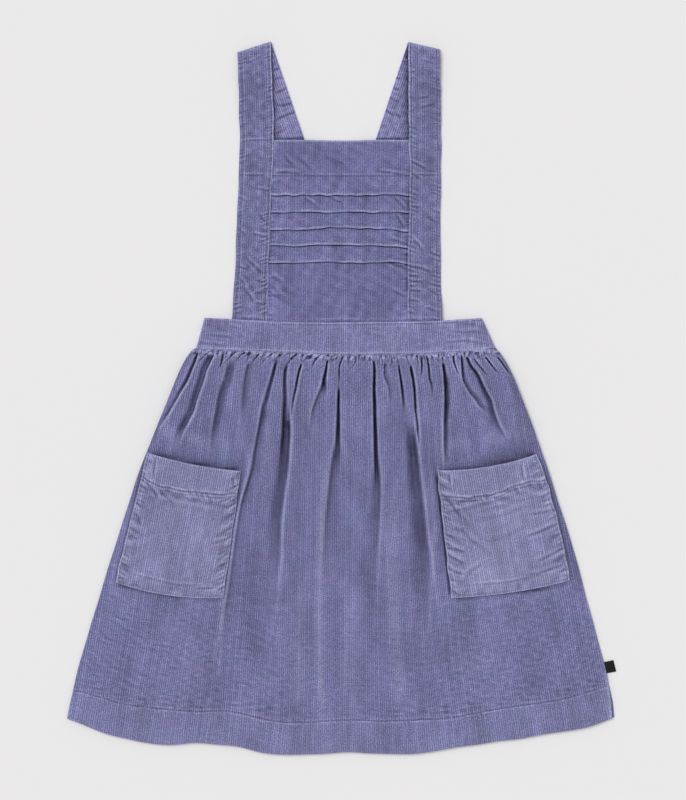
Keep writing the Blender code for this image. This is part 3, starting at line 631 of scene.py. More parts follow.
def border(rows, columns):
    """Rows and columns of a grid's border, counterclockwise from its first corner."""
    low = [(0, c) for c in range(columns)]
    right = [(r, columns - 1) for r in range(1, rows)]
    high = [(rows - 1, c) for c in range(columns - 2, -1, -1)]
    left = [(r, 0) for r in range(rows - 2, 0, -1)]
    return np.array(low + right + high + left)


def coarse_cells(rows, columns, step, vertex_at):
    """Faces of the plainer side, each several cells wide, that still meet every vertex of the border."""
    row_stops = list(range(0, rows - 1, step)) + [rows - 1]
    column_stops = list(range(0, columns - 1, step)) + [columns - 1]
    faces = []
    for low, high in zip(row_stops, row_stops[1:]):
        for left, right in zip(column_stops, column_stops[1:]):
            below = range(left, right) if low == 0 else (left,)
            beyond = range(low, high) if right == columns - 1 else (low,)
            above = range(right, left, -1) if high == rows - 1 else (right,)
            before = range(high, low, -1) if left == 0 else (high,)
            face = [vertex_at[low, c] for c in below]
            face += [vertex_at[r, right] for r in beyond]
            face += [vertex_at[high, c] for c in above]
            face += [vertex_at[r, left] for r in before]
            faces.append(face)
    return faces


def lowest_near(height, reach):
    """The lowest height within some cells of each place."""
    low = height.copy()
    for axis in (0, 1):
        padded = np.pad(low, [(reach, reach) if axis == a else (0, 0) for a in (0, 1)], mode="edge")
        count = low.shape[axis]
        low = np.min([np.take(padded, range(k, k + count), axis) for k in range(2 * reach + 1)], axis=0)
    return low


def softened(height, rounds):
    """Each place as the mean of its neighbours, several times over."""
    for _ in range(rounds):
        wide = np.pad(height, 1, mode="edge")
        height = (wide[1:-1, :-2] + wide[1:-1, 2:] + wide[:-2, 1:-1] + wide[2:, 1:-1] + height) / 5
    return height


def wear_and_shade_by_shape(height, rounds=3, full=0.16):
    """Lightness from the shape itself: up to 1 along ridges, for pile lightened by use and a painted sheen,
    and down to -1 in creases, for painted shade.
    """
    return np.clip((height - softened(height, rounds)) / full, -1.0, 1.0)


def stitch_hole_shade(along, gap, line):
    """Painted shade in the small holes where a row of stitches, at a distance from an edge, goes into the
    cloth.
    """
    return (0.5 + 0.5 * np.cos(TAU * along / STITCH_PITCH)) * bump_at(gap - line, GROOVE_WIDTH)


def in_order(y, least=0.04):
    """The same rows with each at least a little above the last, where some of them lie folded back."""
    steps = least * np.arange(len(y))[:, None]
    return np.maximum.accumulate(y - steps, axis=0) + steps


def shell(name, x, y, outer, inner, cloth, wear_and_shade, material, sides=0.5, step=2, down=False):
    """A closed sheet from arrays whose rows go up, and whose first and last rows and columns are its edge.

    outer is the height of the detailed face and inner that of the other one. cloth is the pair of places
    on the flat cloth. sides is the level of its left and right edges, from inner, 0, to outer, 1. down makes
    the detailed face the lower one.
    """
    rows, columns = x.shape[0] - 2, x.shape[1] - 2
    outside = np.stack([x, y, rimmed(outer, inner, sides), *cloth, wear_and_shade], axis=-1)
    face = outside[1:-1, 1:-1].reshape(-1, 6)
    around = border(rows, columns)
    rim_rows = around[:, 0] + 1 + (around[:, 0] == rows - 1) - (around[:, 0] == 0)
    rim_columns = around[:, 1] + 1 + (around[:, 1] == columns - 1) - (around[:, 1] == 0)
    edge = outside[rim_rows, rim_columns]
    # Its rounded edge is half lit: pile lightened by use with a painted highlight
    edge[:, 5] = 0.5
    top_loop = outside[around[:, 0] + 1, around[:, 1] + 1]
    low_loop = top_loop.copy()
    behind_y = in_order(y)
    low_loop[:, 1] = behind_y[around[:, 0] + 1, around[:, 1] + 1]
    low_loop[:, 2] = inner[around[:, 0] + 1, around[:, 1] + 1]

    rings = []
    turns = [math.pi / 2 * k / RIM_RINGS for k in range(1, RIM_RINGS + 1)]
    for loop, loop_turns in ((top_loop, turns), (low_loop, turns[-2::-1])):
        for turn in loop_turns:
            ring = lerp(loop, edge, math.sin(turn))
            ring[:, 2] = lerp(edge[:, 2], loop[:, 2], math.cos(turn))
            rings.append(ring)
    rings.append(low_loop)

    count = len(around)
    number = np.arange(rows * columns).reshape(rows, columns)
    loops = [number[around[:, 0], around[:, 1]]]
    for i in range(len(rings)):
        loops.append(len(face) + i * count + np.arange(count))
    vertex_at = np.full((rows, columns), -1)
    vertex_at[around[:, 0], around[:, 1]] = loops[-1]
    inside = [(r, c) for r in range(step, rows - 1, step) for c in range(step, columns - 1, step)]
    inside = np.array(inside).reshape(-1, 2)
    vertex_at[inside[:, 0], inside[:, 1]] = loops[-1][-1] + 1 + np.arange(len(inside))
    behind = outside[inside[:, 0] + 1, inside[:, 1] + 1]
    behind[:, 1] = behind_y[inside[:, 0] + 1, inside[:, 1] + 1]
    behind[:, 2] = inner[inside[:, 0] + 1, inside[:, 1] + 1]
    behind[:, 5] = np.maximum(behind[:, 5], -0.3)
    points = np.concatenate([face, *rings, behind])

    quads = np.stack([number[:-1, :-1], number[:-1, 1:], number[1:, 1:], number[1:, :-1]], -1).reshape(-1, 4)
    faces = quads.tolist()
    for upper, lower in zip(loops, loops[1:]):
        strip = np.stack([np.roll(upper, -1), upper, lower, np.roll(lower, -1)], -1)
        faces += strip.tolist()
    faces += [cell[::-1] for cell in coarse_cells(rows, columns, step, vertex_at)]
    if down:
        faces = [cell[::-1] for cell in faces]
    return piece_from(name, points, faces, material)


def piece_from(name, points, faces, material):
    """An object from rows of x, y, z, two places on the cloth and wear, in millimetres."""
    mesh = bpy.data.meshes.new(name)
    mesh.from_pydata((points[:, :3] * MM).tolist(), [], faces)
    corners = np.empty(len(mesh.loops), np.int32)
    mesh.loops.foreach_get("vertex_index", corners)
    layer = mesh.uv_layers.new(name="Cloth")
    layer.data.foreach_set("uv", (points[corners, 3:5] * MM).astype(np.float32).ravel())
    attribute = mesh.attributes.new("wear_and_shade", "FLOAT", "POINT")
    attribute.data.foreach_set("value", points[:, 5].astype(np.float32))
    mesh.materials.append(material)
    mesh.shade_smooth()
    piece = bpy.data.objects.new(name, mesh)
    bpy.context.scene.collection.objects.link(piece)
    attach(piece, "root")
    return piece


# Straps


def strap_middle(strap, y):
    down = BEND_START - y
    return strap.middle_x + strap.lean * down + strap.bend * np.maximum(down, 0.0) ** 2


def strap_slope(strap, y):
    return strap.lean + 2 * strap.bend * np.maximum(BEND_START - y, 0.0)


def carried(strap, x, y, sag):
    """1 on a back strap, and 0 where cloth that lies across it has sagged back to the surface."""
    off = np.abs(x - strap_middle(strap, y)) / np.hypot(1, strap_slope(strap, y))
    return 1 - smooth((off - STRAP_WIDTH / 2) / sag)


def front_base(x, y):
    """Underside of the front layer above the waistband: it lies over the straps and the back waistband."""
    straps = FRONT_LIFT * sum(carried(strap, x, y, FRONT_SAG) for strap in STRAPS)
    band = FRONT_LIFT * (1 - smooth((y - band_top(x)) / FRONT_SAG))
    return (straps**4 + band**4) ** 0.25


def shoulder_y(strap, outward):
    return lerp(strap.shoulder_outer, strap.shoulder_inner, outward)


def seam_relief(gap, along, spacing, height, seed, reach=4.0):
    """Puckers along a stitched edge, at a distance from it."""
    return height * puckers(along, spacing, seed) * bump_at(gap - 1.5, reach)


def front_strap(strap, creases, seed, material):
    """A strap from the waistband up the side of the bib to the shoulder, with its edges turned in."""
    outer_edge = strap_outer[strap.side]
    inner_edge = strap_inner[strap.side]
    across, up = np.meshgrid(fine_edged(26, 0.016, 0.12, 7), stepped(250, 0.003))
    outward = across if strap.side == "left" else 1 - across
    foot_x = lerp(outer_edge(STRAP_FOOT), inner_edge(STRAP_FOOT), outward)
    y = lerp(band_top(foot_x) - TUCKED_IN, shoulder_y(strap, outward), up)
    x = lerp(outer_edge(y), inner_edge(y), outward)
    x = x + 0.25 * waves(y, 0.0, 26, seed) * (2 * outward - 1)

    width = np.abs(inner_edge(y) - outer_edge(y))
    inner_gap = (1 - outward) * width
    outer_gap = outward * width
    base = front_base(x, y)
    top = base + DOUBLE + 0.35 * waves(x, y, 30, seed + 1) + 0.22 * waves(x, y, 11, seed + 2)
    top += creased(x, y, creases)
    rucked = 1 + 0.8 * smooth((210 - y) / 60)
    top += rucked * seam_relief(inner_gap, y + 0.3 * inner_gap, 4.6, 0.5, seed + 3, reach=5.0)
    top += rucked * seam_relief(outer_gap, y - 0.3 * outer_gap, 5.2, 0.5, seed + 4, reach=6.0)
    top -= GROOVE * bump_at(inner_gap - INNER_STITCHES, GROOVE_WIDTH)
    top -= GROOVE * bump_at(outer_gap - OUTER_STITCHES, GROOVE_WIDTH)
    top -= 1.1 * (1 - smooth((y - band_top(x)) / 4))
    fold = shoulder_y(strap, outward) - y
    roll = np.clip(1 - fold / DOUBLE, 0, 1)
    top -= DOUBLE * (1 - np.sqrt(1 - roll**2)) * 0.8
    cloth = ((outward - 0.5) * width, y)
    # Light along the inner edge, brightest toward the shoulder, and a fainter light outer edge, pile
    # lightened by use with painted highlights; painted shade in the stitch holes
    patchy = np.clip(0.85 + 0.35 * waves(y, 0.0, 9, seed + 5), 0, 1.1)
    bright = lerp(0.6, 1.0, smooth((y - 190) / 50)) * patchy
    wear_and_shade = 0.45 * wear_and_shade_by_shape(top) + bright * bump_at(inner_gap - 0.7, 0.75)
    wear_and_shade += 0.15 * bump_at(outer_gap, 0.9)
    wear_and_shade -= 0.55 * stitch_hole_shade(y, inner_gap, INNER_STITCHES) + 0.2 * stitch_hole_shade(y, outer_gap, OUTER_STITCHES)
    return shell(f"front_strap_{strap.side}_cloth", x, y, top, base, cloth, wear_and_shade, material)


def back_strap(strap, creases, seed, material):
    """A strap from the shoulder to the back waistband. One of the two crosses over the other."""
    lower = next(other for other in STRAPS if not other.crosses_over)
    across, up = np.meshgrid(stepped(36, 0.02), stepped(240, 0.004))
    outward = across if strap.side == "left" else 1 - across
    end_y = band_top(strap_middle(strap, STRAP_FOOT)) - TUCKED_IN
    y = lerp(end_y, shoulder_y(strap, outward), up)
    half = STRAP_WIDTH / 2 * np.hypot(1, strap_slope(strap, y))
    x = strap_middle(strap, y) + (across - 0.5) * 2 * half
    base = STRAP_LIFT * carried(lower, x, y, STRAP_SAG) if strap.crosses_over else np.zeros(x.shape)
    inner_gap = (1 - outward) * STRAP_WIDTH
    outer_gap = outward * STRAP_WIDTH
    top = base + DOUBLE + 0.25 * waves(x, y, 26, seed) + 0.1 * waves(x, y, 8, seed + 1)
    top += creased(x, y, creases)
    for gap, more in ((inner_gap, 2), (outer_gap, 3)):
        top += seam_relief(gap, y, 4.4, 0.3, seed + more)
    crossing = carried(STRAPS[1], x, y, 4.0) if not strap.crosses_over else 0.0
    top -= np.maximum(top - base - DOUBLE, 0) * crossing
    in_band = 1 - smooth((y - band_top(x)) / 4)
    base = lerp(base, BACK_FOOT, in_band)
    top = lerp(top, base + TUCKED_WALL, in_band)
    cloth = ((outward - 0.5) * STRAP_WIDTH, y)
    wear_and_shade = np.minimum(0.5 * wear_and_shade_by_shape(top, 5), 0.15)
    # Painted shadow along the bib's top edge, and painted shade beside the front strap's inner edge
    wear_and_shade -= 0.8 * bump_at(y - BIB_TOP - 1.2, 1.3)
    beside_front = np.abs(x - strap_inner[strap.side](y))
    deep, reach = NECK_SHADE[strap.side]
    dark = deep * bump_at(beside_front, reach) + 0.3 * bump_at(beside_front, 1.2)
    wear_and_shade -= dark * smooth((y - BIB_TOP) / 6)
    return shell(f"back_strap_{strap.side}_cloth", x, y, top, base, cloth, wear_and_shade, material, step=1)


# Bib


def tuck_profile():
    """Rows of the bib from its foot up: height up the dress, rise above the plain cloth, the tuck that the
    row moves with, as a number that runs from one tuck to the next, and how much lighter it is: a light edge
    on each tuck, pile lightened by use with a painted highlight, and painted shadow beneath it."""
    edges = [FIRST_TUCK - i * TUCK_PITCH for i in range(TUCKS)]
    plain = np.linspace(BAND_LEVEL - TUCKED_IN, edges[-1] - 2.0, 48)
    rows = [(y, 0.0, TUCKS - 1 + smooth((plain[-1] - y) / 10), 0.0) for y in plain]
    for i in range(TUCKS - 1, -1, -1):
        edge = edges[i]
        rows += [(edge + lip.off, lip.rise / 2.0 * TUCK_RISE, i, lip.worn) for lip in TUCK_LIP]
        above = edges[i - 1] - 2.0 if i else BIB_TOP - BIB_HEM - 1.2
        slope = np.linspace(edge + 2.0, above, 11)
        up = (slope - edge) / (above - edge)
        rows += [(y, TUCK_RISE * (1 - share), i - share, 0.0) for y, share in zip(slope, up)]
    near_top = BIB_TOP - np.array((2.3, 1.7, 1.1, 0.5))
    hem = np.concatenate((np.linspace(BIB_TOP - BIB_HEM - 0.3, BIB_TOP - 3, 29), near_top))
    rows += [(y, BIB_HEM_RISE * float(smooth((y - hem[0]) / 1.2)), -1, 0.0) for y in hem]
    return rows


def bib(seed, material):
    """The front panel between the straps, with a hemmed top edge and five tucks that lie downwards."""
    level, *profile = np.array(tuck_profile()).T
    level = np.concatenate(([level[0] - 0.7], level, [BIB_TOP]))
    relief, tuck_at, worn = (np.pad(column, 1, mode="edge")[:, None] for column in profile)
    across, row_y = np.meshgrid(stepped(124, 0.006), level)
    left = strap_inner["left"](row_y) - TUCKED_IN
    right = strap_inner["right"](row_y) + TUCKED_IN
    x = lerp(left, right, across)
    y = row_y + (band_top(x) - BAND_LEVEL) * (1 - smooth((row_y - 68) / 40))
    shift = np.zeros(x.shape)
    lift = np.ones(x.shape)
    for i in range(TUCKS):
        wave = 0.7 * waves(x, 0.0, 55, seed + 10 * i) + 0.3 * waves(x, 0.0, 16, seed + 10 * i + 1)
        if i >= TUCKS - 3:
            wave = wave - 1.6 * smooth((x - 50) / 12)
        share = np.clip(1 - np.abs(tuck_at - i), 0, 1)
        shift += share * wave
        lift += share * 0.22 * waves(x, 0.0, 22, seed + 10 * i + 2)
    y = y + shift
    y[-1] += 0.3 * waves(x[-1], 0.0, 40, seed + 5)

    in_band = 1 - smooth((y - band_top(x)) / 3)
    base = front_base(x, y)
    base = lerp(base, np.minimum(base, BIB_FOOT), in_band)
    left_gap = x - strap_inner["left"](y)
    right_gap = strap_inner["right"](y) - x
    rise = relief * lift * smooth(np.minimum(left_gap, right_gap) / 2 + 0.1)
    top = base + WALL + rise + 0.4 * waves(x, y, 28, seed + 3) + 0.18 * waves(x, y, 11, seed + 4)
    top += creased(x, y, BIB_CREASES)
    top += seam_relief(left_gap, y, 4.8, 0.4, seed + 6)
    top += seam_relief(right_gap, y, 4.4, 0.45, seed + 7)
    hem_gap = BIB_STITCHES - y
    top -= GROOVE * bump_at(hem_gap, GROOVE_WIDTH)
    top += 0.3 * puckers(x, 4.2, seed + 8) * bump_at(hem_gap, 3.0)
    in_strap = smooth(0.3 - np.minimum(left_gap, right_gap))
    covered = np.maximum(in_strap, in_band)
    base = base + 0.4 * in_strap
    top = lerp(np.maximum(top, base + 0.6), base + TUCKED_WALL, covered)
    cloth = (x, y + 1.2 * rise)
    # The tucks' light edges and the painted shadow beneath them
    lip_light_and_shade = worn * np.clip(0.85 + 0.35 * waves(x, row_y, 30, seed + 9), 0, 1)
    wear_and_shade = 0.4 * wear_and_shade_by_shape(top - rise) * (1 - covered) + lip_light_and_shade
    # A light line along the hemmed top edge: pile lightened by use with a painted highlight
    wear_and_shade += 1.1 * bump_at(BIB_TOP - 0.8 - y, 0.75)
    # Painted shadow of the straps along their inner edges, darkest beside the right strap
    right_strap_shadow = 0.2 + 0.5 * bump_at(y - 125, 30)
    wear_and_shade -= 0.15 * bump_at(left_gap - 1, 1.0) + right_strap_shadow * bump_at(right_gap - 0.8, 1.0)
    # A light line just above the hem's row of stitches, and painted shade in the groove of the stitches
    wear_and_shade += 0.35 * bump_at(hem_gap + 0.9, 0.6) - 0.4 * bump_at(hem_gap - 0.4, 0.7)
    return shell("bib_cloth", x, y, top, base, cloth, np.clip(wear_and_shade, -1, 1), material)


# Waistband

BAND_FRONT = (2.45, 5.8)  # heights of its two faces
BAND_BACK = (0.0, 2.35)
BAND_MIDDLE = 57.0
BAND_HALF_WIDTH = 130.0


def waistband(name, low, high, seed, material, faces_down=False):
    """One half of the waistband, 30 mm deep. Its two halves close round the side seams."""
    across, up = np.meshgrid(stepped(270, 0.008), stepped(28, 0.03))
    left = lerp(BAND_BOTTOM[0].x, BAND_TOP[0].x, up)
    right = lerp(BAND_BOTTOM[-1].x, BAND_TOP[-1].x, up)
    x = lerp(left, right, across)
    foot = band_bottom(lerp(BAND_BOTTOM[0].x, BAND_BOTTOM[-1].x, across))
    head = band_top(lerp(BAND_TOP[0].x, BAND_TOP[-1].x, across))
    y = lerp(foot, head, up) + 0.12 * waves(x, 0.0, 30, seed)
    above = y - foot
    below = head - y
    relief = 0.16 * waves(x, y, 32, seed + 1) + 0.08 * waves(x, y, 9, seed + 2)
    relief -= 0.25 * bump_at(above - BAND_STITCHES, GROOVE_WIDTH)
    relief += 0.3 * puckers(x, 4.4, seed + 3) * bump_at(above - 1, 3.5)
    relief += 0.2 * puckers(x, 6.0, seed + 4) * bump_at(below - 1, 3.0)
    relief -= 0.3 * bump_at(below - 2.2, 0.8) * smooth((x + 56) / 6)
    if not faces_down:
        relief += creased(x, y, BAND_CREASES)
    near_ends = 0.3 + 0.7 * smooth((np.abs(x) - 60) / 50)
    relief += 0.1 * near_ends * waves(0.3 * x, y, 5, seed + 5)
    cloth = (x + 0.12 * (y - BAND_MIDDLE) * x / BAND_HALF_WIDTH, y)
    # Light lines along the upper edge and just above the stitched lower edge, pile lightened by use with
    # painted highlights, and painted shade in the stitch holes
    wear_and_shade = 0.4 * wear_and_shade_by_shape(relief) + 0.9 * bump_at(below, 1.1) + 0.8 * bump_at(above - 1.5, 0.8)
    wear_and_shade -= 0.25 * stitch_hole_shade(x, above, BAND_STITCHES)
    wear_and_shade += 0.07 * x / BAND_HALF_WIDTH + 0.07 * waves(x, 0.5 * y, 34, seed + 6)
    if faces_down:
        face, other = low - np.minimum(relief, 0) * 0.6, np.full(x.shape, high)
    else:
        face, other = high + relief, np.full(x.shape, low)
    wear_and_shade = np.clip(wear_and_shade, -1, 1)
    return shell(name, x, y, face, other, cloth, wear_and_shade, material, SEAM_LEVEL, down=faces_down)


# Skirt


def skirt_place(across, down, inset=0.0, reveal=0.0):
    """Place on the outline of the skirt. across runs from the left edge, down from the waist seam."""
    top_left = skirt_left(SKIRT_SIDES[0].y)
    top_right = skirt_right(SKIRT_SIDES[0].y)
    waist = band_bottom(lerp(top_left, top_right, across)) - GAP
    bottom = hem_edge(lerp(HEM[0].x, HEM[-1].x, across))
    height = lerp(SKIRT_SIDES[0].y, SKIRT_SIDES[-1].y, down)
    tucked = 2 * TUCKED_IN * smooth(-300 * down)
    left = skirt_left(height) + inset * smooth(down / INSET_START) + tucked
    right = skirt_right(height) - reveal - tucked
    return lerp(left, right, across), lerp(waist, bottom + inset, down), right - left


def skirt_share(x, y):
    """Where a place lies on the skirt, as shares across and down."""
    across = np.full(np.shape(x), 0.5)
    down = np.full(np.shape(x), 0.5)
    for _ in range(12):
        left_x, _, width = skirt_place(0.0, down)
        across = np.clip((x - left_x) / width, 0.0, 1.0)
        top_y = skirt_place(across, 0.0)[1]
        bottom_y = skirt_place(across, 1.0)[1]
        down = np.clip((top_y - y) / (top_y - bottom_y), 0.0, 1.0)
    return across, down


def reveal_at(down):
    return SEAM_REVEAL * smooth((down - REVEAL_START) / (1 - REVEAL_START))


def beyond_sides(pocket, x, y):
    """For a pocket's top, right, foot and left: how far outside its line a place is, and how far along."""
    bows = (pocket.top_bow, pocket.right_bow, pocket.bottom_bow, pocket.left_bow)
    sides = []
    for i, (corner, bow) in enumerate(zip(pocket.corners, bows)):
        after = pocket.corners[(i + 1) % 4]
        along_x = after.x - corner.x
        along_y = after.y - corner.y
        length = math.hypot(along_x, along_y)
        outside = ((y - corner.y) * along_x - (x - corner.x) * along_y) / length
        along = np.clip(((x - corner.x) * along_x + (y - corner.y) * along_y) / length**2, 0, 1)
        sides.append((outside - 4 * along * (1 - along) * bow, along))
    return sides


def under_pocket(x, y):
    """1 where a pocket covers the skirt, and 0 away from both."""
    covers = []
    for pocket in POCKETS:
        cover = np.ones(np.shape(x))
        for (outside, _), margin in zip(beyond_sides(pocket, x, y), COVER_MARGINS):
            cover *= smooth(1 - outside / margin)
        covers.append(cover)
    return np.maximum(*covers)


def pocket_shade(x, y):
    """How dark the skirt is just outside the pockets: a thin line along every side, and a wider shade above
    the open mouths."""
    total = np.zeros(np.shape(x))
    for pocket, edges, mouth in zip(POCKETS, EDGE_SHADE, MOUTH_SHADE):
        for i, (outside, along) in enumerate(beyond_sides(pocket, x, y)):
            ends = smooth(along / 0.06) * smooth((1 - along) / 0.06)
            strength = np.interp(along, (0, 0.5, 1), edges[i])
            total += ends * strength * bump_at(outside - 0.8, 1.3)
            if i == 0:
                wide = np.interp(along, (0, 0.3, 0.7, 1), mouth)
                total += 0.3 * ends * bump_at(outside, wide) * smooth(outside / 3 + 1.5)
    return total


def skirt_floor(down):
    return WALL + back_rise(down) + GAP


def line_down(places):
    """A line of places from its top down, as x for every y, and the heights of its top and end."""
    xs, ys = zip(*reversed(places))
    return through(ys, xs), ys[-1], ys[0]


def fold_run(fold, x, y):
    """How far each place lies to the right of a fold's line, how far down the fold it is, 0 to 1, and the
    heights of the fold's top and end."""
    line, top_y, end_y = line_down(fold.line)
    slope = (line(y + 1) - line(y - 1)) / 2
    run = np.clip((top_y - y) / (top_y - end_y), 0.0, 1.0)
    return (x - line(y)) / np.hypot(1, slope), run, top_y, end_y


def fold_effect(fold, x, y):
    """Share of the rise that a fold takes away, the swell beside it, the light line along that swell's edge,
    pile lightened by use with a painted sheen, and the painted shade inside the fold."""
    side, run, top_y, end_y = fold_run(fold, x, y)
    left = lerp(*fold.left, run)
    right = lerp(*fold.right, run)
    fades = smooth((top_y - y) / fold.fades[0]) * smooth((y - end_y) / fold.fades[1])
    width = np.where(side < 0, left, right)
    wall = np.where(side < 0, *fold.walls)
    shape = fades * np.exp(-(np.abs(side / width) ** wall))
    before, after = fold.crests
    swell = before * bump_at(side + 1.5 * left + 1, 1.2 + 0.5 * left)
    swell += after * bump_at(side - 1.5 * right - 1, 1.2 + 0.5 * right)
    swell = fades * swell
    line = lerp(*CREST_LIGHT_WIDTH, run)
    rubbed_and_sheen = before * bump_at(side + 1.2 * left + 0.3, line) + after * bump_at(side - 1.2 * right - 0.3, line)
    rubbed_and_sheen = (fades * lerp(1.0, 0.75, run)) * rubbed_and_sheen
    return lerp(*fold.depth, run) * shape, swell, rubbed_and_sheen, lerp(*fold.dark, run) * shape**1.3


def hidden_cloth(x, y, down):
    """How much cloth the folds hold between the middle of the skirt and a place."""
    total = np.zeros(np.shape(x))
    for fold in FOLDS:
        if not fold.hides:
            continue
        side, run, _, end_y = fold_run(fold, x, y)
        spread = 2.5 + HIDDEN_SPREAD * np.maximum(end_y + 20 - y, 0.0) + 3 * run
        outward = math.copysign(1, fold.line[0][0] + 1)
        total += outward * fold.hides * (1 - down) * smooth(0.5 + outward * side / (2 * spread))
    return total


def banded(x, y):
    """Height of the long swells down the skirt, and their lightness: painted light on the swells and
    painted shade in the hollows.
    """
    height, worn = np.zeros((2, *x.shape))
    for band in BANDS:
        line, top_y, end_y = line_down(band.line)
        shape = smooth((top_y - y) / 40) * smooth((y - end_y) / 30) * bump_at(x - line(y), band.width)
        height += band.height * shape
        worn += band.worn * shape
    return height, worn


def gathered(x, below):
    """Small rounded bulges under the waist seam, and the painted shade in the thin creases between them."""
    lean = GATHER_LEAN * np.tanh((x - GATHER_TURN.x) / GATHER_TURN.y)
    height = np.zeros(x.shape)
    light = np.ones(x.shape)
    for row in GATHERS:
        swing = waves(x - lean * below, below / row.stretch, 2 * row.width, row.seed)
        reach = row.reach * (1 + 0.35 * waves(x, 0.0, 20, row.seed + 1))
        fade = (1 - smooth(below / reach)) * smooth(below / 2)
        height += row.height * fade * (smooth(np.abs(swing) / 0.5) - 0.6)
        strength = row.dark * smooth(0.75 + waves(x, below, 9, row.seed + 2))
        light *= 1 - strength * fade * bump_at(swing, CREASE_SHARE)
    return height, 1 - light


def skirt_relief(x, y, across, down, width, below):
    """Height of the front panel above its lowest folds, the light lines along their crests, pile lightened by
    use with a painted sheen, and the painted shade deep in the folds and in the creases between the gathers.
    """
    edge = smooth(np.minimum(across, 1 - across) * width / SIDE_ROLL)
    kept, light = np.ones((2, *x.shape))
    swell, rubbed_and_sheen = np.zeros((2, *x.shape))
    for fold in FOLDS:
        taken, beside, worn, dark = fold_effect(fold, x, y)
        kept *= 1 - taken
        light *= 1 - dark
        swell += beside
        rubbed_and_sheen += worn
    fades_in = smooth(below / 10)
    uneven = 0.3 * waves(x, y * 0.25, 34, 21) + 0.1 * waves(x, y * 0.4, 12, 22)
    rise = front_rise(down) * (1 + 0.08 * waves(x, y * 0.3, 22, 23)) * edge * kept
    # seams is the painted shade in the thin creases between the gathers
    bulges, seams = gathered(x, below)
    rise = rise + bulges * edge * lerp(0.4, 1.0, kept)
    swell = swell * (0.35 + 0.65 * front_rise(down) / HIGHEST_RISE)
    rise += (swell + uneven * (0.4 + 0.6 * (1 - down))) * edge * fades_in
    flat = lerp(rise, UNDER_POCKET * edge, under_pocket(x, y))
    # deep is painted shade, inside the folds and in the creases between the gathers
    deep = 1 - light * (1 - seams)
    return np.maximum(flat, 0.0), rubbed_and_sheen, deep * smooth(front_rise(down) / 4)


FIRST_ROW = -TUCKED_IN + 0.7  # of the skirt, beside its upper edge, in millimetres down from the waist seam
LAST_ROW = SKIRT_LENGTH - 0.9


def skirt_grid(columns, runs):
    """Places across and down the skirt. Each run of its rows has a first row, a last one and a count."""
    rows = [np.linspace(*run) for run in runs]
    downs = np.concatenate(([-TUCKED_IN], *rows, [SKIRT_LENGTH])) / SKIRT_LENGTH
    return np.meshgrid(stepped(columns, 0.0022), downs[::-1])


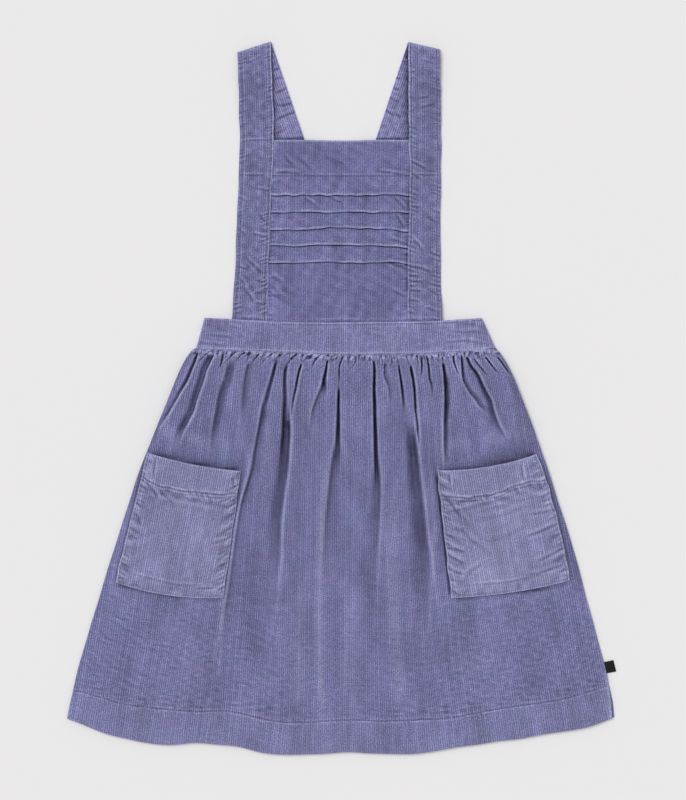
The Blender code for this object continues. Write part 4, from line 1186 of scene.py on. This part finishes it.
def skirt_front(material):
    """The front panel, gathered into the waistband, with a 30 mm hem turned up."""
    fine = ((FIRST_ROW, 20, 30), (21.3, 60, 26), (63.2, 240, 54), (242.5, 328, 36))
    across, down = skirt_grid(440, (*fine, (329, 347, 21), (350, LAST_ROW, 7)))
    x, y, width = skirt_place(across, down, reveal=reveal_at(down))
    x = x + 0.35 * waves(y, 0.0, 60, 31) * (2 * across - 1)
    y = y + 0.35 * waves(x, 0.0, 40, 32) * down**8
    below = down * SKIRT_LENGTH
    relief, rubbed_and_sheen, deep = skirt_relief(x, y, across, np.clip(down, 0, 1), width, below)
    hem_gap = hem_line(x) - y
    ruck = np.clip(0.6 + 0.6 * waves(x, 0.0, 18, 38), 0.1, 1)
    relief -= 2.4 * smooth(-below)
    relief += HEM_RISE * smooth((hem_gap + 0.2) / 1.2)
    relief -= GROOVE * bump_at(hem_gap + 0.4, 0.7)
    relief += 0.55 * puckers(x + 0.3 * y, 5.6, 33) * bump_at(hem_gap, 7.0) * down
    relief += 0.36 * ruck * waves(0.4 * x, y, 5, 39) * bump_at(hem_gap + 6, 7.0)
    relief += 0.28 * puckers(x - 0.2 * y, 8.0, 34) * smooth(hem_gap / 8)
    relief += 0.2 * waves(x, 0.3 * y, 16, 41) * smooth(hem_gap / 8) * bump_at(x + 20, 120.0)
    crinkle = waves(0.4 * x, y - 0.1 * np.abs(x), CRINKLE, 37) * smooth((down - 0.3) / 0.5)
    crinkle *= (0.55 + 0.45 * smooth(np.abs(x - 10) / 120)) * (1 - 0.6 * smooth(hem_gap / 4))
    swells, band_light_and_shade = banded(x, y)
    seam_gap = skirt_right(y) - reveal_at(down) - x
    seam = smooth((down - REVEAL_START) / 0.06)
    relief += 0.5 * seam * bump_at(seam_gap - 1.5, 1.6)
    relief += 0.08 * crinkle + swells
    floor = skirt_floor(np.clip(down, 0, 1))
    top = floor + WALL + np.maximum(relief, 0.0)
    inner = np.maximum(lowest_near(top, 3) - WALL, floor)
    cloth = (x + hidden_cloth(x, y, down) + 0.5 * waves(x, y, 80, 35), y)
    # Lighter on ridges and along the folds' crest lines, pile lightened by use with a painted sheen, and
    # darker in creases, painted shade
    wear_and_shade = (0.45 + 0.4 * bump_at(below, 14)) * wear_and_shade_by_shape(top, 2, 0.35) + 0.6 * rubbed_and_sheen
    wear_and_shade += 0.1 * bump_at((1 - down) * SKIRT_LENGTH, 1.0)
    # Along the hem's row of stitches: painted shade in its groove between light lines on the cloth either
    # side, painted highlights
    hem_light_and_shade = 0.25 * bump_at(hem_gap + 1.8, 0.8) - 0.3 * ruck * bump_at(hem_gap + 0.3, 0.6)
    wear_and_shade += hem_light_and_shade + 0.1 * smooth(hem_gap / 3)
    wear_and_shade += 0.3 * ruck * bump_at(hem_gap - 0.9, 0.7)
    wear_and_shade += 0.14 * ruck * waves(0.35 * x, y, 5.5, 43) * bump_at(hem_gap + 6, 8.0)
    wear_and_shade += 0.07 * crinkle + band_light_and_shade
    wear_and_shade += 0.07 * waves(x, 1.3 * y, 5.0, 40) * (1 - smooth((down - 0.3) / 0.3)) * smooth(below / 8)
    wear_and_shade += seam * (0.9 * bump_at(seam_gap - 0.8, 0.9) + 0.15 * bump_at(seam_gap, 9.0))
    at_corner = 0.6 * seam * bump_at(hem_gap - 0.5, 1.5) * bump_at(seam_gap, 6.0)
    wear_and_shade += 0.25 * smooth((down - 0.6) / 0.2) * bump_at(seam_gap, 3.0) + at_corner
    # Painted shade deep inside the folds and just outside the pockets
    wear_and_shade -= deep + pocket_shade(x, y)
    # Painted highlights on the tops of the small ruffles just under the waist seam, and painted shade between
    # them
    wear_and_shade += RUFFLE_CONTRAST * (waves(x, below / 1.6, 4.4, 36) + 0.35) * bump_at(below - 2.2, 2.2)
    wear_and_shade -= 0.6 * np.clip(waves(x, below / 1.5, 3.4, 42) - 0.4, 0, 1) * bump_at(below - 4, 3.0)
    wear_and_shade = np.clip(wear_and_shade, -1, 1)
    return shell("skirt_front_cloth", x, y, top, inner, cloth, wear_and_shade, material, SEAM_LEVEL, step=3)


def skirt_back(material):
    """The back panel. Its outside faces down, flat where it rests, with soft gathers below the waist."""
    across, down = skirt_grid(240, ((FIRST_ROW, 40, 30), (43, LAST_ROW, 108)))
    hidden = BACK_INSET * (1 - reveal_at(down) / SEAM_REVEAL)
    x, y, width = skirt_place(across, down, inset=BACK_INSET, reveal=hidden)
    drift = 0.45 * waves(x, 0.0, 90, 51) + 0.12 * waves(x, 0.2 * y, 45, 52)
    groove = (1 - np.cos(TAU * (BACK_GATHERS * across + drift))) / 2
    groove *= np.clip(0.75 + 0.35 * waves(x, 0.15 * y, 34, 53), 0.2, 1)
    low = back_rise(np.clip(down, 0, 1)) * groove * smooth(np.minimum(across, 1 - across) * width / 6)
    low = np.maximum(low, BACK_FOOT * smooth(0.5 - down * SKIRT_LENGTH))
    hem_gap = hem_line(x) - y
    low += 0.3 * bump_at(hem_gap + 0.6, 0.9)
    high = low + WALL
    cloth = (x * (1 + 0.5 * (1 - down)), y)
    wear_and_shade = 0.4 * wear_and_shade_by_shape(-low, 4, 0.28)
    return shell("skirt_back_cloth", x, y, low, high, cloth, wear_and_shade, material, SEAM_LEVEL, down=True)


# Pockets


def bowed(start, end, bow, share):
    """Places on an edge from start to end that bows out by a distance to its left."""
    length = math.hypot(end.x - start.x, end.y - start.y)
    off = 4 * share * (1 - share) * bow
    x = lerp(start.x, end.x, share) - (end.y - start.y) / length * off
    y = lerp(start.y, end.y, share) + (end.x - start.x) / length * off
    return Point(x, y)


def pocket_place(pocket, across, up):
    """Place on the outline of a pocket, by shares across from its left and up from its foot."""
    top_left, top_right, low_right, low_left = pocket.corners
    top = bowed(top_left, top_right, pocket.top_bow, across)
    bottom = bowed(low_left, low_right, -pocket.bottom_bow, across)
    left = bowed(low_left, top_left, pocket.left_bow, up)
    right = bowed(low_right, top_right, -pocket.right_bow, up)
    straight_left = lerp(low_left.x, top_left.x, up)
    straight_right = lerp(low_right.x, top_right.x, up)
    side_x = lerp(left.x - straight_left, right.x - straight_right, across)
    return lerp(bottom.x, top.x, up) + side_x, lerp(bottom.y, top.y, up)


def patch_pocket(pocket, seed, material):
    """A pocket stitched to the front panel along three sides and a little open at its top."""
    across, up = np.meshgrid(stepped(96, 0.008), stepped(122, 0.006))
    x, y = pocket_place(pocket, across, up)
    wide = lerp(*POCKET_WIDTHS, up)
    x = x + 0.3 * waves(y, 0.0, 18, seed) * (2 * across - 1) + 0.2 * waves(x, y, 30, seed + 1)
    side_gap = np.minimum(across, 1 - across) * wide
    foot_gap = up * POCKET_DEPTH
    sewn_gap = np.minimum(side_gap, foot_gap)
    along = np.where(foot_gap < side_gap, x, y)
    skirt_across, skirt_down = skirt_share(x, y)
    edge = smooth(np.minimum(skirt_across, 1 - skirt_across) * skirt_place(0.0, skirt_down)[2] / SIDE_ROLL)
    rest = skirt_floor(skirt_down) + WALL + UNDER_POCKET * edge + 0.1
    belly = np.sin(math.pi * across)
    stand_off = smooth(sewn_gap / 14) * POCKET_PUFF * (1 - 0.5 * up) + belly * POCKET_MOUTH * up**4
    uneven = 0.5 * waves(x, y, 30, seed + 2) + 0.08 * waves(x, y, 11, seed + 3)
    relief = stand_off + uneven * smooth(sewn_gap / 8)
    band_gap = y - pocket_band[pocket.side](x) + 0.35 * waves(x, 0.0, 14, seed + 7)
    broken = np.clip(0.6 + 0.6 * waves(x, 0.0, 12, seed + 9), 0, 1)
    relief += 0.55 * smooth((band_gap + 0.4) / 1.2)
    relief -= lerp(0.3, 1.1, broken) * GROOVE * bump_at(band_gap + 0.6, 0.9)
    relief -= 0.6 * GROOVE * bump_at(band_gap + 3.6, 0.9)
    relief += 0.5 * puckers(x + 0.5 * band_gap, 7.0, seed + 4) * bump_at(band_gap + 3, 4.0)
    relief += 0.5 * waves(0.5 * x, 1.5 * y, 12, seed + 6) * bump_at(band_gap + 7, 8.0)
    relief -= 0.5 * GROOVE * bump_at(sewn_gap - POCKET_STITCHES, GROOVE_WIDTH)
    rising = y + 0.4 * side_gap
    at_side = side_gap < foot_gap + 6
    tugged = waves(0.3 * side_gap, rising, 10, seed + 5) * bump_at(side_gap - 4, 9.0) * at_side
    tight = waves(0.4 * side_gap, rising, 4.5, seed + 11) * bump_at(side_gap - 3, 4.5) * at_side
    at_foot = 0.4 * waves(x, 0.35 * foot_gap, 13, seed + 8) * bump_at(foot_gap - 3, 5.0)
    relief += 0.75 * tugged + 0.22 * tight + at_foot
    relief += 0.75 * creased(x, y, POCKET_CREASES[pocket.side])
    relief = np.maximum(relief, -0.4)
    inner = rest + np.where(up > 0.5, belly * POCKET_MOUTH * up**4 * 0.9, 0.0)
    top = np.maximum(rest + WALL + relief, inner + 0.7)
    top_left, top_right, low_right, low_left = np.array(pocket.corners)
    middle_low = lerp(low_left, low_right, 0.5)
    axis = lerp(top_left, top_right, 0.5) - middle_low
    axis_x, axis_y = axis / math.hypot(*axis)
    off_x, off_y = x - middle_low[0], y - middle_low[1]
    cloth = (off_x * axis_y - off_y * axis_x, off_x * axis_x + off_y * axis_y)
    # Light along the sewn edges, the mouth and the turned hem's lines, pile lightened by use with painted
    # highlights; painted shade in the crease beneath the hem and in the stitch holes; the listed patches
    # lighter and darker
    wear_and_shade = 0.5 * wear_and_shade_by_shape(top, 3, 0.2) + 0.45 * bump_at(sewn_gap, 0.9)
    patches = POCKET_PATCHES[pocket.side]
    wear_and_shade += sum(patch.worn * bump_at(np.hypot(x - patch.x, y - patch.y), patch.reach) for patch in patches)
    outer_gap = (1 - across if pocket.side == "right" else across) * wide
    wear_and_shade += 0.4 * bump_at(outer_gap - 0.3, 0.8)
    second = np.clip(0.4 + 0.7 * waves(x, 0.0, 16, seed + 10), 0, 1)
    wear_and_shade += 0.4 * bump_at((1 - up) * POCKET_DEPTH, 0.9) + 0.5 * broken * bump_at(band_gap - 0.4, 0.8)
    wear_and_shade += 0.45 * second * bump_at(band_gap + 2.8, 0.7) - 0.28 * broken * bump_at(band_gap + 1.0, 0.7)
    wear_and_shade -= 0.3 * second * bump_at(band_gap + 4.0, 0.8) + 0.12 * stitch_hole_shade(along, sewn_gap, POCKET_STITCHES)
    return shell(f"pocket_{pocket.side}_cloth", x, y, top, inner, cloth, np.clip(wear_and_shade, -1, 1), material)


# Label


def side_label(material):
    """A short folded tape in the right side seam, with both its faces bare."""
    out, share = np.meshgrid(stepped(18, 0.05), stepped(20, 0.04))
    tilt = math.radians(LABEL_TILT)
    reach = out * (LABEL_LENGTH + 0.8) - 0.8
    seam_y = LABEL_Y - (1 - share) * LABEL_WIDTH
    x = skirt_right(seam_y) + GAP + reach * math.cos(tilt)
    y = seam_y + reach * math.sin(tilt)
    low = np.zeros(x.shape)
    top = low + LABEL_WALL + 0.5 * bump_at(out - 0.85, 0.2) - 0.2 * bump_at(out - 0.2, 0.15)
    cloth = (reach, share * LABEL_WIDTH)
    wear_and_shade = 0.5 * bump_at(out - 1, 0.1)
    return shell("side_label_tape", x, y, top, low, cloth, wear_and_shade, material, step=1)


# Stitches


def stitch_row(places, tree):
    """The ends of the stitches along a line, laid on the cloth below it."""
    places = np.array(places, float)
    steps = np.hypot(*np.diff(places, axis=0).T)
    along = np.concatenate(([0.0], np.cumsum(steps)))
    count = max(int(along[-1] / STITCH_PITCH), 1)
    spots = (np.arange(count) + 0.5) * along[-1] / count
    rows = []
    for spot in spots:
        pair = []
        for end in (spot - STITCH / 2, spot + STITCH / 2):
            x, y = (np.interp(end, along, places[:, i]) * MM for i in (0, 1))
            pair.append(tree.ray_cast(Vector((x, y, 0.1)), Vector((0, 0, -1)))[0])
        if None not in pair:
            rows.append(pair)
    return rows


def stitches(name, rows, material):
    """One object of many small rounded stitches, each between two points on the cloth."""
    sides = 6
    profile = ((-0.5, 0.0), (-0.44, 0.7), (-0.2, 1.0), (0.2, 1.0), (0.44, 0.7), (0.5, 0.0))
    points, faces = [], []
    for start, end in rows:
        middle = (start + end) / 2 - Vector((0, 0, STITCH_SINK * MM))
        direction = (end - start).normalized()
        aside = direction.cross(Vector((0, 0, 1))).normalized()
        upward = aside.cross(direction)
        first = len(points)
        for along, radius in profile:
            centre = middle + direction * along * STITCH * MM
            if radius == 0.0:
                points.append(centre)
                continue
            for k in range(sides):
                turn = TAU * k / sides
                spoke = aside * math.cos(turn) + upward * math.sin(turn) * 0.8
                points.append(centre + spoke * radius * STITCH_RADIUS * MM)
        rings = [first + 1 + sides * k for k in range(len(profile) - 2)]
        last = first + 1 + sides * (len(profile) - 2)
        for k in range(sides):
            after = (k + 1) % sides
            faces.append((first, rings[0] + after, rings[0] + k))
            for ring, following in zip(rings, rings[1:]):
                faces.append((ring + k, ring + after, following + after, following + k))
            faces.append((rings[-1] + k, rings[-1] + after, last))
    co = np.array([tuple(point) for point in points]) / MM
    values = np.concatenate([co, co[:, :2], np.full((len(co), 1), 0.5)], axis=1)
    return piece_from(name, values, faces, material)


def sewn_on(piece, node, lines, material):
    """The stitches of one piece of cloth, in rows along lines of places."""
    mesh = piece.data
    faces = [tuple(polygon.vertices) for polygon in mesh.polygons]
    tree = BVHTree.FromPolygons([vertex.co.copy() for vertex in mesh.vertices], faces)
    rows = [stitch for line in lines for stitch in stitch_row(line, tree)]
    return stitches(f"{node}_stitches", rows, material)


def strap_line(strap, gap, from_inner):
    """A line up a front strap at a distance from one of its edges."""
    ys = np.linspace(76.0, shoulder_y(strap, float(from_inner)) - 3.0, 90)
    edge = (strap_inner if from_inner else strap_outer)[strap.side](ys)
    inward = -1 if (strap.side == "left") == from_inner else 1
    return list(zip(edge + inward * gap, ys))


def pocket_lines(pocket):
    """The line round a pocket's sides and foot, and the one along its turned hem."""
    up = np.linspace(0, 1, 60)
    even = np.ones(60)
    aside = POCKET_STITCHES / lerp(*POCKET_WIDTHS, 0.5)
    low = POCKET_STITCHES / POCKET_DEPTH
    left = pocket_place(pocket, aside * even, lerp(0.98, low, up))
    foot = pocket_place(pocket, lerp(aside, 1 - aside, up), low * even)
    right = pocket_place(pocket, (1 - aside) * even, lerp(low, 0.98, up))
    sewn = np.concatenate([np.array(part).T for part in (left, foot, right)])
    band = POCKET_BANDS[pocket.side]
    xs = np.linspace(band[0].x + 3, band[-1].x - 3, 60)
    return [sewn, list(zip(xs, pocket_band[pocket.side](xs) - 0.6))]


# Materials


class Tree:
    """Short ways to add shader nodes to one material."""

    def __init__(self, name):
        self.material = bpy.data.materials.new(name)
        self.material.use_nodes = True
        self.nodes = self.material.node_tree.nodes
        self.links = self.material.node_tree.links
        self.shader = self.nodes["Principled BSDF"]

    def put(self, socket, value):
        if isinstance(value, bpy.types.NodeSocket):
            self.links.new(value, socket)
        else:
            socket.default_value = value

    def maths(self, operation, *values):
        node = self.nodes.new("ShaderNodeMath")
        node.operation = operation
        for socket, value in zip(node.inputs, values):
            self.put(socket, value)
        return node.outputs[0]

    def product(self, first, second):
        return self.maths("MULTIPLY", first, second)

    def ramp(self, value, factor, more):
        """A value times a factor, and something more."""
        return self.maths("MULTIPLY_ADD", value, factor, more)

    def surface(self, looks):
        """Sets inputs of the shader by their names."""
        for name, look in looks.items():
            self.put(self.shader.inputs[name], look)

    def bumped(self, height, strength, distance):
        """Gives the surface a fine relief, as deep as a distance in millimetres."""
        node = self.nodes.new("ShaderNodeBump")
        node.inputs["Strength"].default_value = strength
        node.inputs["Distance"].default_value = distance * MM
        self.put(node.inputs["Height"], height)
        self.put(self.shader.inputs["Normal"], node.outputs[0])

    def across_and_up(self, place):
        node = self.nodes.new("ShaderNodeSeparateXYZ")
        self.put(node.inputs[0], place)
        return node.outputs["X"], node.outputs["Y"]

    def scaled(self, vector, factors):
        node = self.nodes.new("ShaderNodeVectorMath")
        node.operation = "MULTIPLY"
        self.put(node.inputs[0], vector)
        node.inputs[1].default_value = factors
        return node.outputs[0]

    def noise(self, vector, detail=2.0, roughness=0.55):
        node = self.nodes.new("ShaderNodeTexNoise")
        node.inputs["Scale"].default_value = 1.0
        node.inputs["Detail"].default_value = detail
        node.inputs["Roughness"].default_value = roughness
        self.put(node.inputs["Vector"], vector)
        return node.outputs["Fac"]

    def mixed(self, share, first, second):
        node = self.nodes.new("ShaderNodeMix")
        node.data_type = "RGBA"
        self.put(node.inputs["Factor"], share)
        self.put(node.inputs["A"], first)
        self.put(node.inputs["B"], second)
        return node.outputs["Result"]

    def attribute(self, name):
        node = self.nodes.new("ShaderNodeAttribute")
        node.attribute_name = name
        return node.outputs["Fac"]

    def cloth_place(self):
        """The place on the flat cloth, in millimetres."""
        node = self.nodes.new("ShaderNodeUVMap")
        node.uv_map = "Cloth"
        return self.scaled(node.outputs["UV"], (1 / MM, 1 / MM, 0.0))


# Colours of the corduroy: its ribs, the valleys between them, and the light colour of pile lightened by use
# and of painted sheen
RIB = (0.25, 0.248, 0.455)
VALLEY = (0.092, 0.09, 0.217)
WORN_AND_SHEEN = (0.38, 0.39, 0.59)


def corduroy(name, light, crisp=1.0, rough=0.9):
    """Fine corduroy: rows of cut pile with a thin valley between them, lighter where use has lightened the
    pile and where painted highlights lie, and darker where painted shade lies.

    light scales its three colours, as red, green and blue, crisp how clear its rows are and rough how uneven
    their pile.
    """
    rib, valley, worn = (np.multiply(light, colour) for colour in (RIB, VALLEY, WORN_AND_SHEEN))
    tree = Tree(name)
    place = tree.cloth_place()
    wander = tree.noise(tree.scaled(place, (0.12, 0.05, 0.0)), 1.0)
    across = tree.maths("ADD", tree.across_and_up(place)[0], tree.product(wander, 1.2))
    turn = tree.product(across, TAU / WALE)
    ridge = tree.ramp(tree.maths("COSINE", turn), 0.5, 0.5)
    random = tree.nodes.new("ShaderNodeTexWhiteNoise")
    random.noise_dimensions = "1D"
    tree.put(random.inputs["W"], tree.maths("ROUND", tree.product(across, 1 / WALE)))

    tufts = tree.noise(tree.scaled(place, (2 / WALE, 1 / TUFT, 0.0)), 0.0)
    patches = tree.noise(tree.scaled(place, (0.035, 0.02, 0.0)), 3.0)
    mottle = tree.noise(tree.scaled(place, (0.13, 0.09, 0.0)), 2.0)
    tint = tree.noise(tree.scaled(place, (0.035, 0.05, 0.0)), 1.0)
    pile = tree.noise(tree.scaled(place, (0.9, 0.35, 0.0)), 3.0, 0.7)
    grain = tree.noise(tree.scaled(place, (0.8, 0.5, 0.0)), 3.0, 0.75)

    fuzz = rough / crisp
    tone = tree.ramp(patches, 0.8, 0.6)
    uneven = ((mottle, 0.4), (grain, fuzz), (tufts, 1.6 * fuzz), (random.outputs["Value"], 0.16))
    for part, share in uneven:
        tone = tree.product(tone, tree.ramp(part, share, 1 - share / 2))

    clear = tree.ramp(mottle, 1.0, 0.66 * crisp - 0.5)
    shown = tree.ramp(tree.maths("SUBTRACT", ridge, 0.5), clear, 0.5)
    colour = tree.mixed(shown, (*valley, 1), (*rib, 1))
    # The attribute mixes in the light colour above 0, for pile lightened by use and painted highlights, and
    # painted shade below 0
    wear_and_shade = tree.attribute("wear_and_shade")
    rubbed_and_sheen = tree.product(wear_and_shade, tree.ramp(pile, 0.9, 0.4))
    rubbed_and_sheen = tree.maths("MINIMUM", tree.maths("MAXIMUM", rubbed_and_sheen, 0.0), 1.0)
    colour = tree.mixed(rubbed_and_sheen, colour, (*worn, 1))
    # Painted shade: towards the colour deep in a fold, where the attribute is below 0
    painted_shade = tree.product(tree.maths("MINIMUM", wear_and_shade, 0.0), -0.97)
    colour = tree.mixed(painted_shade, colour, (*(FOLD_SHADE_TONE * part for part in valley), 1))
    shade = tree.nodes.new("ShaderNodeHueSaturation")
    hue = tree.ramp(tree.maths("SUBTRACT", tint, 0.5), 0.035, tree.ramp(mottle, 0.02, 0.49))
    for socket, value in (("Hue", hue), ("Value", tone), ("Color", colour)):
        tree.put(shade.inputs[socket], value)
    tree.bumped(tree.ramp(pile, 0.35, ridge), 0.4, 0.35)
    tree.surface(
        {
            "Base Color": shade.outputs[0],
            "Roughness": tree.ramp(pile, 0.2, 0.75),
            "Specular IOR Level": 0.15,
            "Sheen Weight": 0.12,
            "Sheen Roughness": 0.35,
            "Sheen Tint": (0.62, 0.62, 0.9, 1),
        }
    )
    return tree.material


def thread(name, colour, light):
    """Sewing thread, twisted, so lighter and darker turns run along it."""
    tree = Tree(name)
    twist = tree.noise(tree.scaled(tree.cloth_place(), (2.5, 2.5, 0.0)), 2.0)
    colour = tree.mixed(twist, (*colour, 1), (*light, 1))
    tree.surface({"Base Color": colour, "Roughness": tree.ramp(twist, 0.2, 0.5)})
    tree.bumped(twist, 0.4, 0.1)
    return tree.material


def woven_tape(name, dark, light):
    """Black satin tape: fine crosswise threads with a faint gloss."""
    tree = Tree(name)
    place = tree.cloth_place()
    across, up = tree.across_and_up(place)
    warp = tree.maths("SINE", tree.product(across, TAU / 0.5))
    weft = tree.maths("SINE", tree.product(up, TAU / 0.7))
    weave = tree.ramp(tree.product(warp, weft), 0.5, 0.5)
    fuzz = tree.noise(tree.scaled(place, (1.2, 1.2, 0.0)), 2.0)
    colour = tree.mixed(tree.product(weave, fuzz), (*dark, 1), (*light, 1))
    colour = tree.mixed(tree.attribute("wear_and_shade"), colour, (*light, 1))
    tree.surface({"Base Color": colour, "Roughness": tree.ramp(fuzz, 0.25, 0.45), "Specular IOR Level": 0.2})
    tree.bumped(weave, 0.5, 0.08)
    return tree.material


def paper(name):
    """The plain pale surface that the dress lies on."""
    tree = Tree(name)
    texture = tree.nodes.new("ShaderNodeTexCoord")
    cloud = tree.noise(tree.scaled(texture.outputs["Object"], (3.0, 3.0, 3.0)), 2.0)
    tone = tree.ramp(cloud, 0.01, 0.845)
    colour = tree.nodes.new("ShaderNodeCombineColor")
    for socket, factor in zip(colour.inputs, (1.0, 0.985, 0.993)):
        tree.put(socket, tree.product(tone, factor))
    tree.surface({"Base Color": colour.outputs[0], "Roughness": 0.9, "Specular IOR Level": 0.1})
    return tree.material


# Stage


def floor(material):
    """A surface far wider than the view, a little below everything that rests on it."""
    size = 12.0
    mesh = bpy.data.meshes.new("floor")
    corners = [(-size, -size), (size, -size), (size, size), (-size, size)]
    mesh.from_pydata([(x, y, -0.1 * MM) for x, y in corners], [], [(0, 1, 2, 3)])
    mesh.materials.append(material)
    piece = bpy.data.objects.new("floor", mesh)
    bpy.context.scene.collection.objects.link(piece)


def wide_lamp(name, towards, spread, strength):
    """A lamp as far and as wide as an overcast window, so that its light is even over the whole floor."""
    light = bpy.data.lights.new(name, "SUN")
    light.angle = math.radians(spread)
    light.energy = strength
    lamp = bpy.data.objects.new(name, light)
    lamp.rotation_euler = Vector(towards).to_track_quat("-Z", "Y").to_euler()
    bpy.context.scene.collection.objects.link(lamp)


def studio():
    """Soft light from a pale room and a large lamp above the shoulders, and a camera straight above."""
    world = bpy.data.worlds.new("studio")
    world.use_nodes = True
    background = world.node_tree.nodes["Background"]
    background.inputs["Color"].default_value = (1, 1, 1, 1)
    background.inputs["Strength"].default_value = 0.5
    bpy.context.scene.world = world
    wide_lamp("lamp", (0.38, -0.36, -1.0), 34.0, 1.68)

    camera = bpy.data.cameras.new("camera")
    camera.lens = 100.0
    camera.sensor_width = 36.0
    holder = bpy.data.objects.new("camera", camera)
    holder.location = (1.84 * MM, -1.38 * MM, 2.044)
    bpy.context.scene.collection.objects.link(holder)
    bpy.context.scene.camera = holder
    bpy.context.scene.view_settings.view_transform = "Standard"


# The dress


def main():
    cloth = corduroy("lilac_corduroy", (1.0, 1.01, 1.01))
    strap_cloth = corduroy("lilac_corduroy_strap", (1.3, 1.28, 1.24), crisp=1.15)
    bib_cloth = corduroy("lilac_corduroy_bib", (0.935, 0.94, 0.98), crisp=0.9, rough=0.72)
    band_cloth = corduroy("lilac_corduroy_band", (1.19, 1.19, 1.155), crisp=1.12)
    pocket_cloth = corduroy("lilac_corduroy_pocket", (1.36, 1.37, 1.235), rough=0.76)
    sewing = thread("lilac_thread", (0.2, 0.2, 0.38), (0.32, 0.32, 0.52))
    pale_sewing = thread("pale_lilac_thread", (0.4, 0.4, 0.6), (0.62, 0.62, 0.8))
    tape = woven_tape("black_tape", (0.002, 0.0025, 0.004), (0.012, 0.013, 0.018))

    left, right = STRAPS
    front_straps = {
        "left": front_strap(left, LEFT_STRAP_CREASES, 101, cloth),
        "right": front_strap(right, RIGHT_STRAP_CREASES, 121, cloth),
    }
    back_straps = {
        "left": back_strap(left, LEFT_NECK_CREASES, 141, strap_cloth),
        "right": back_strap(right, RIGHT_NECK_CREASES, 161, strap_cloth),
    }
    panel = bib(201, bib_cloth)
    band_front = waistband("waistband_front_cloth", *BAND_FRONT, 301, band_cloth)
    band_back = waistband("waistband_back_cloth", *BAND_BACK, 321, band_cloth, faces_down=True)
    front = skirt_front(cloth)
    back = skirt_back(cloth)
    pockets = {}
    for seed, pocket in zip((401, 421), POCKETS):
        pockets[pocket.side] = patch_pocket(pocket, seed, pocket_cloth)
    label = side_label(tape)

    for strap in STRAPS:
        node = f"front_strap_{strap.side}"
        lines = (strap_line(strap, INNER_STITCHES, True), strap_line(strap, OUTER_STITCHES, False))
        sewn_on(front_straps[strap.side], node, lines, sewing)
    bib_xs = np.linspace(-59.0, 58.0, 80)
    band_xs = np.linspace(-128.0, 136.0, 120)
    hem_xs = np.linspace(-238.0, 241.0, 240)
    rows = (
        ("bib", panel, bib_xs, np.full(80, BIB_STITCHES), sewing),
        ("waistband_front", band_front, band_xs, band_bottom(band_xs) + BAND_STITCHES, pale_sewing),
        ("skirt_front", front, hem_xs, hem_line(hem_xs) + 0.6, sewing),
    )
    for node, piece, xs, ys, material in rows:
        sewn_on(piece, node, [list(zip(xs, ys))], material)
    for pocket in POCKETS:
        node = f"pocket_{pocket.side}"
        sewn_on(pockets[pocket.side], node, pocket_lines(pocket), sewing)

    for side in ("left", "right"):
        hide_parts(f"front_strap_{side}")
        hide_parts(f"back_strap_{side}")
        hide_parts(f"pocket_{side}")
    for piece, node in ((panel, "bib"), (band_front, "waistband_front"), (band_back, "waistband_back")):
        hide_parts(node)
    for piece, node in ((front, "skirt_front"), (back, "skirt_back"), (label, "side_label")):
        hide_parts(node)

    floor(paper("pale_paper"))
    studio()


main()
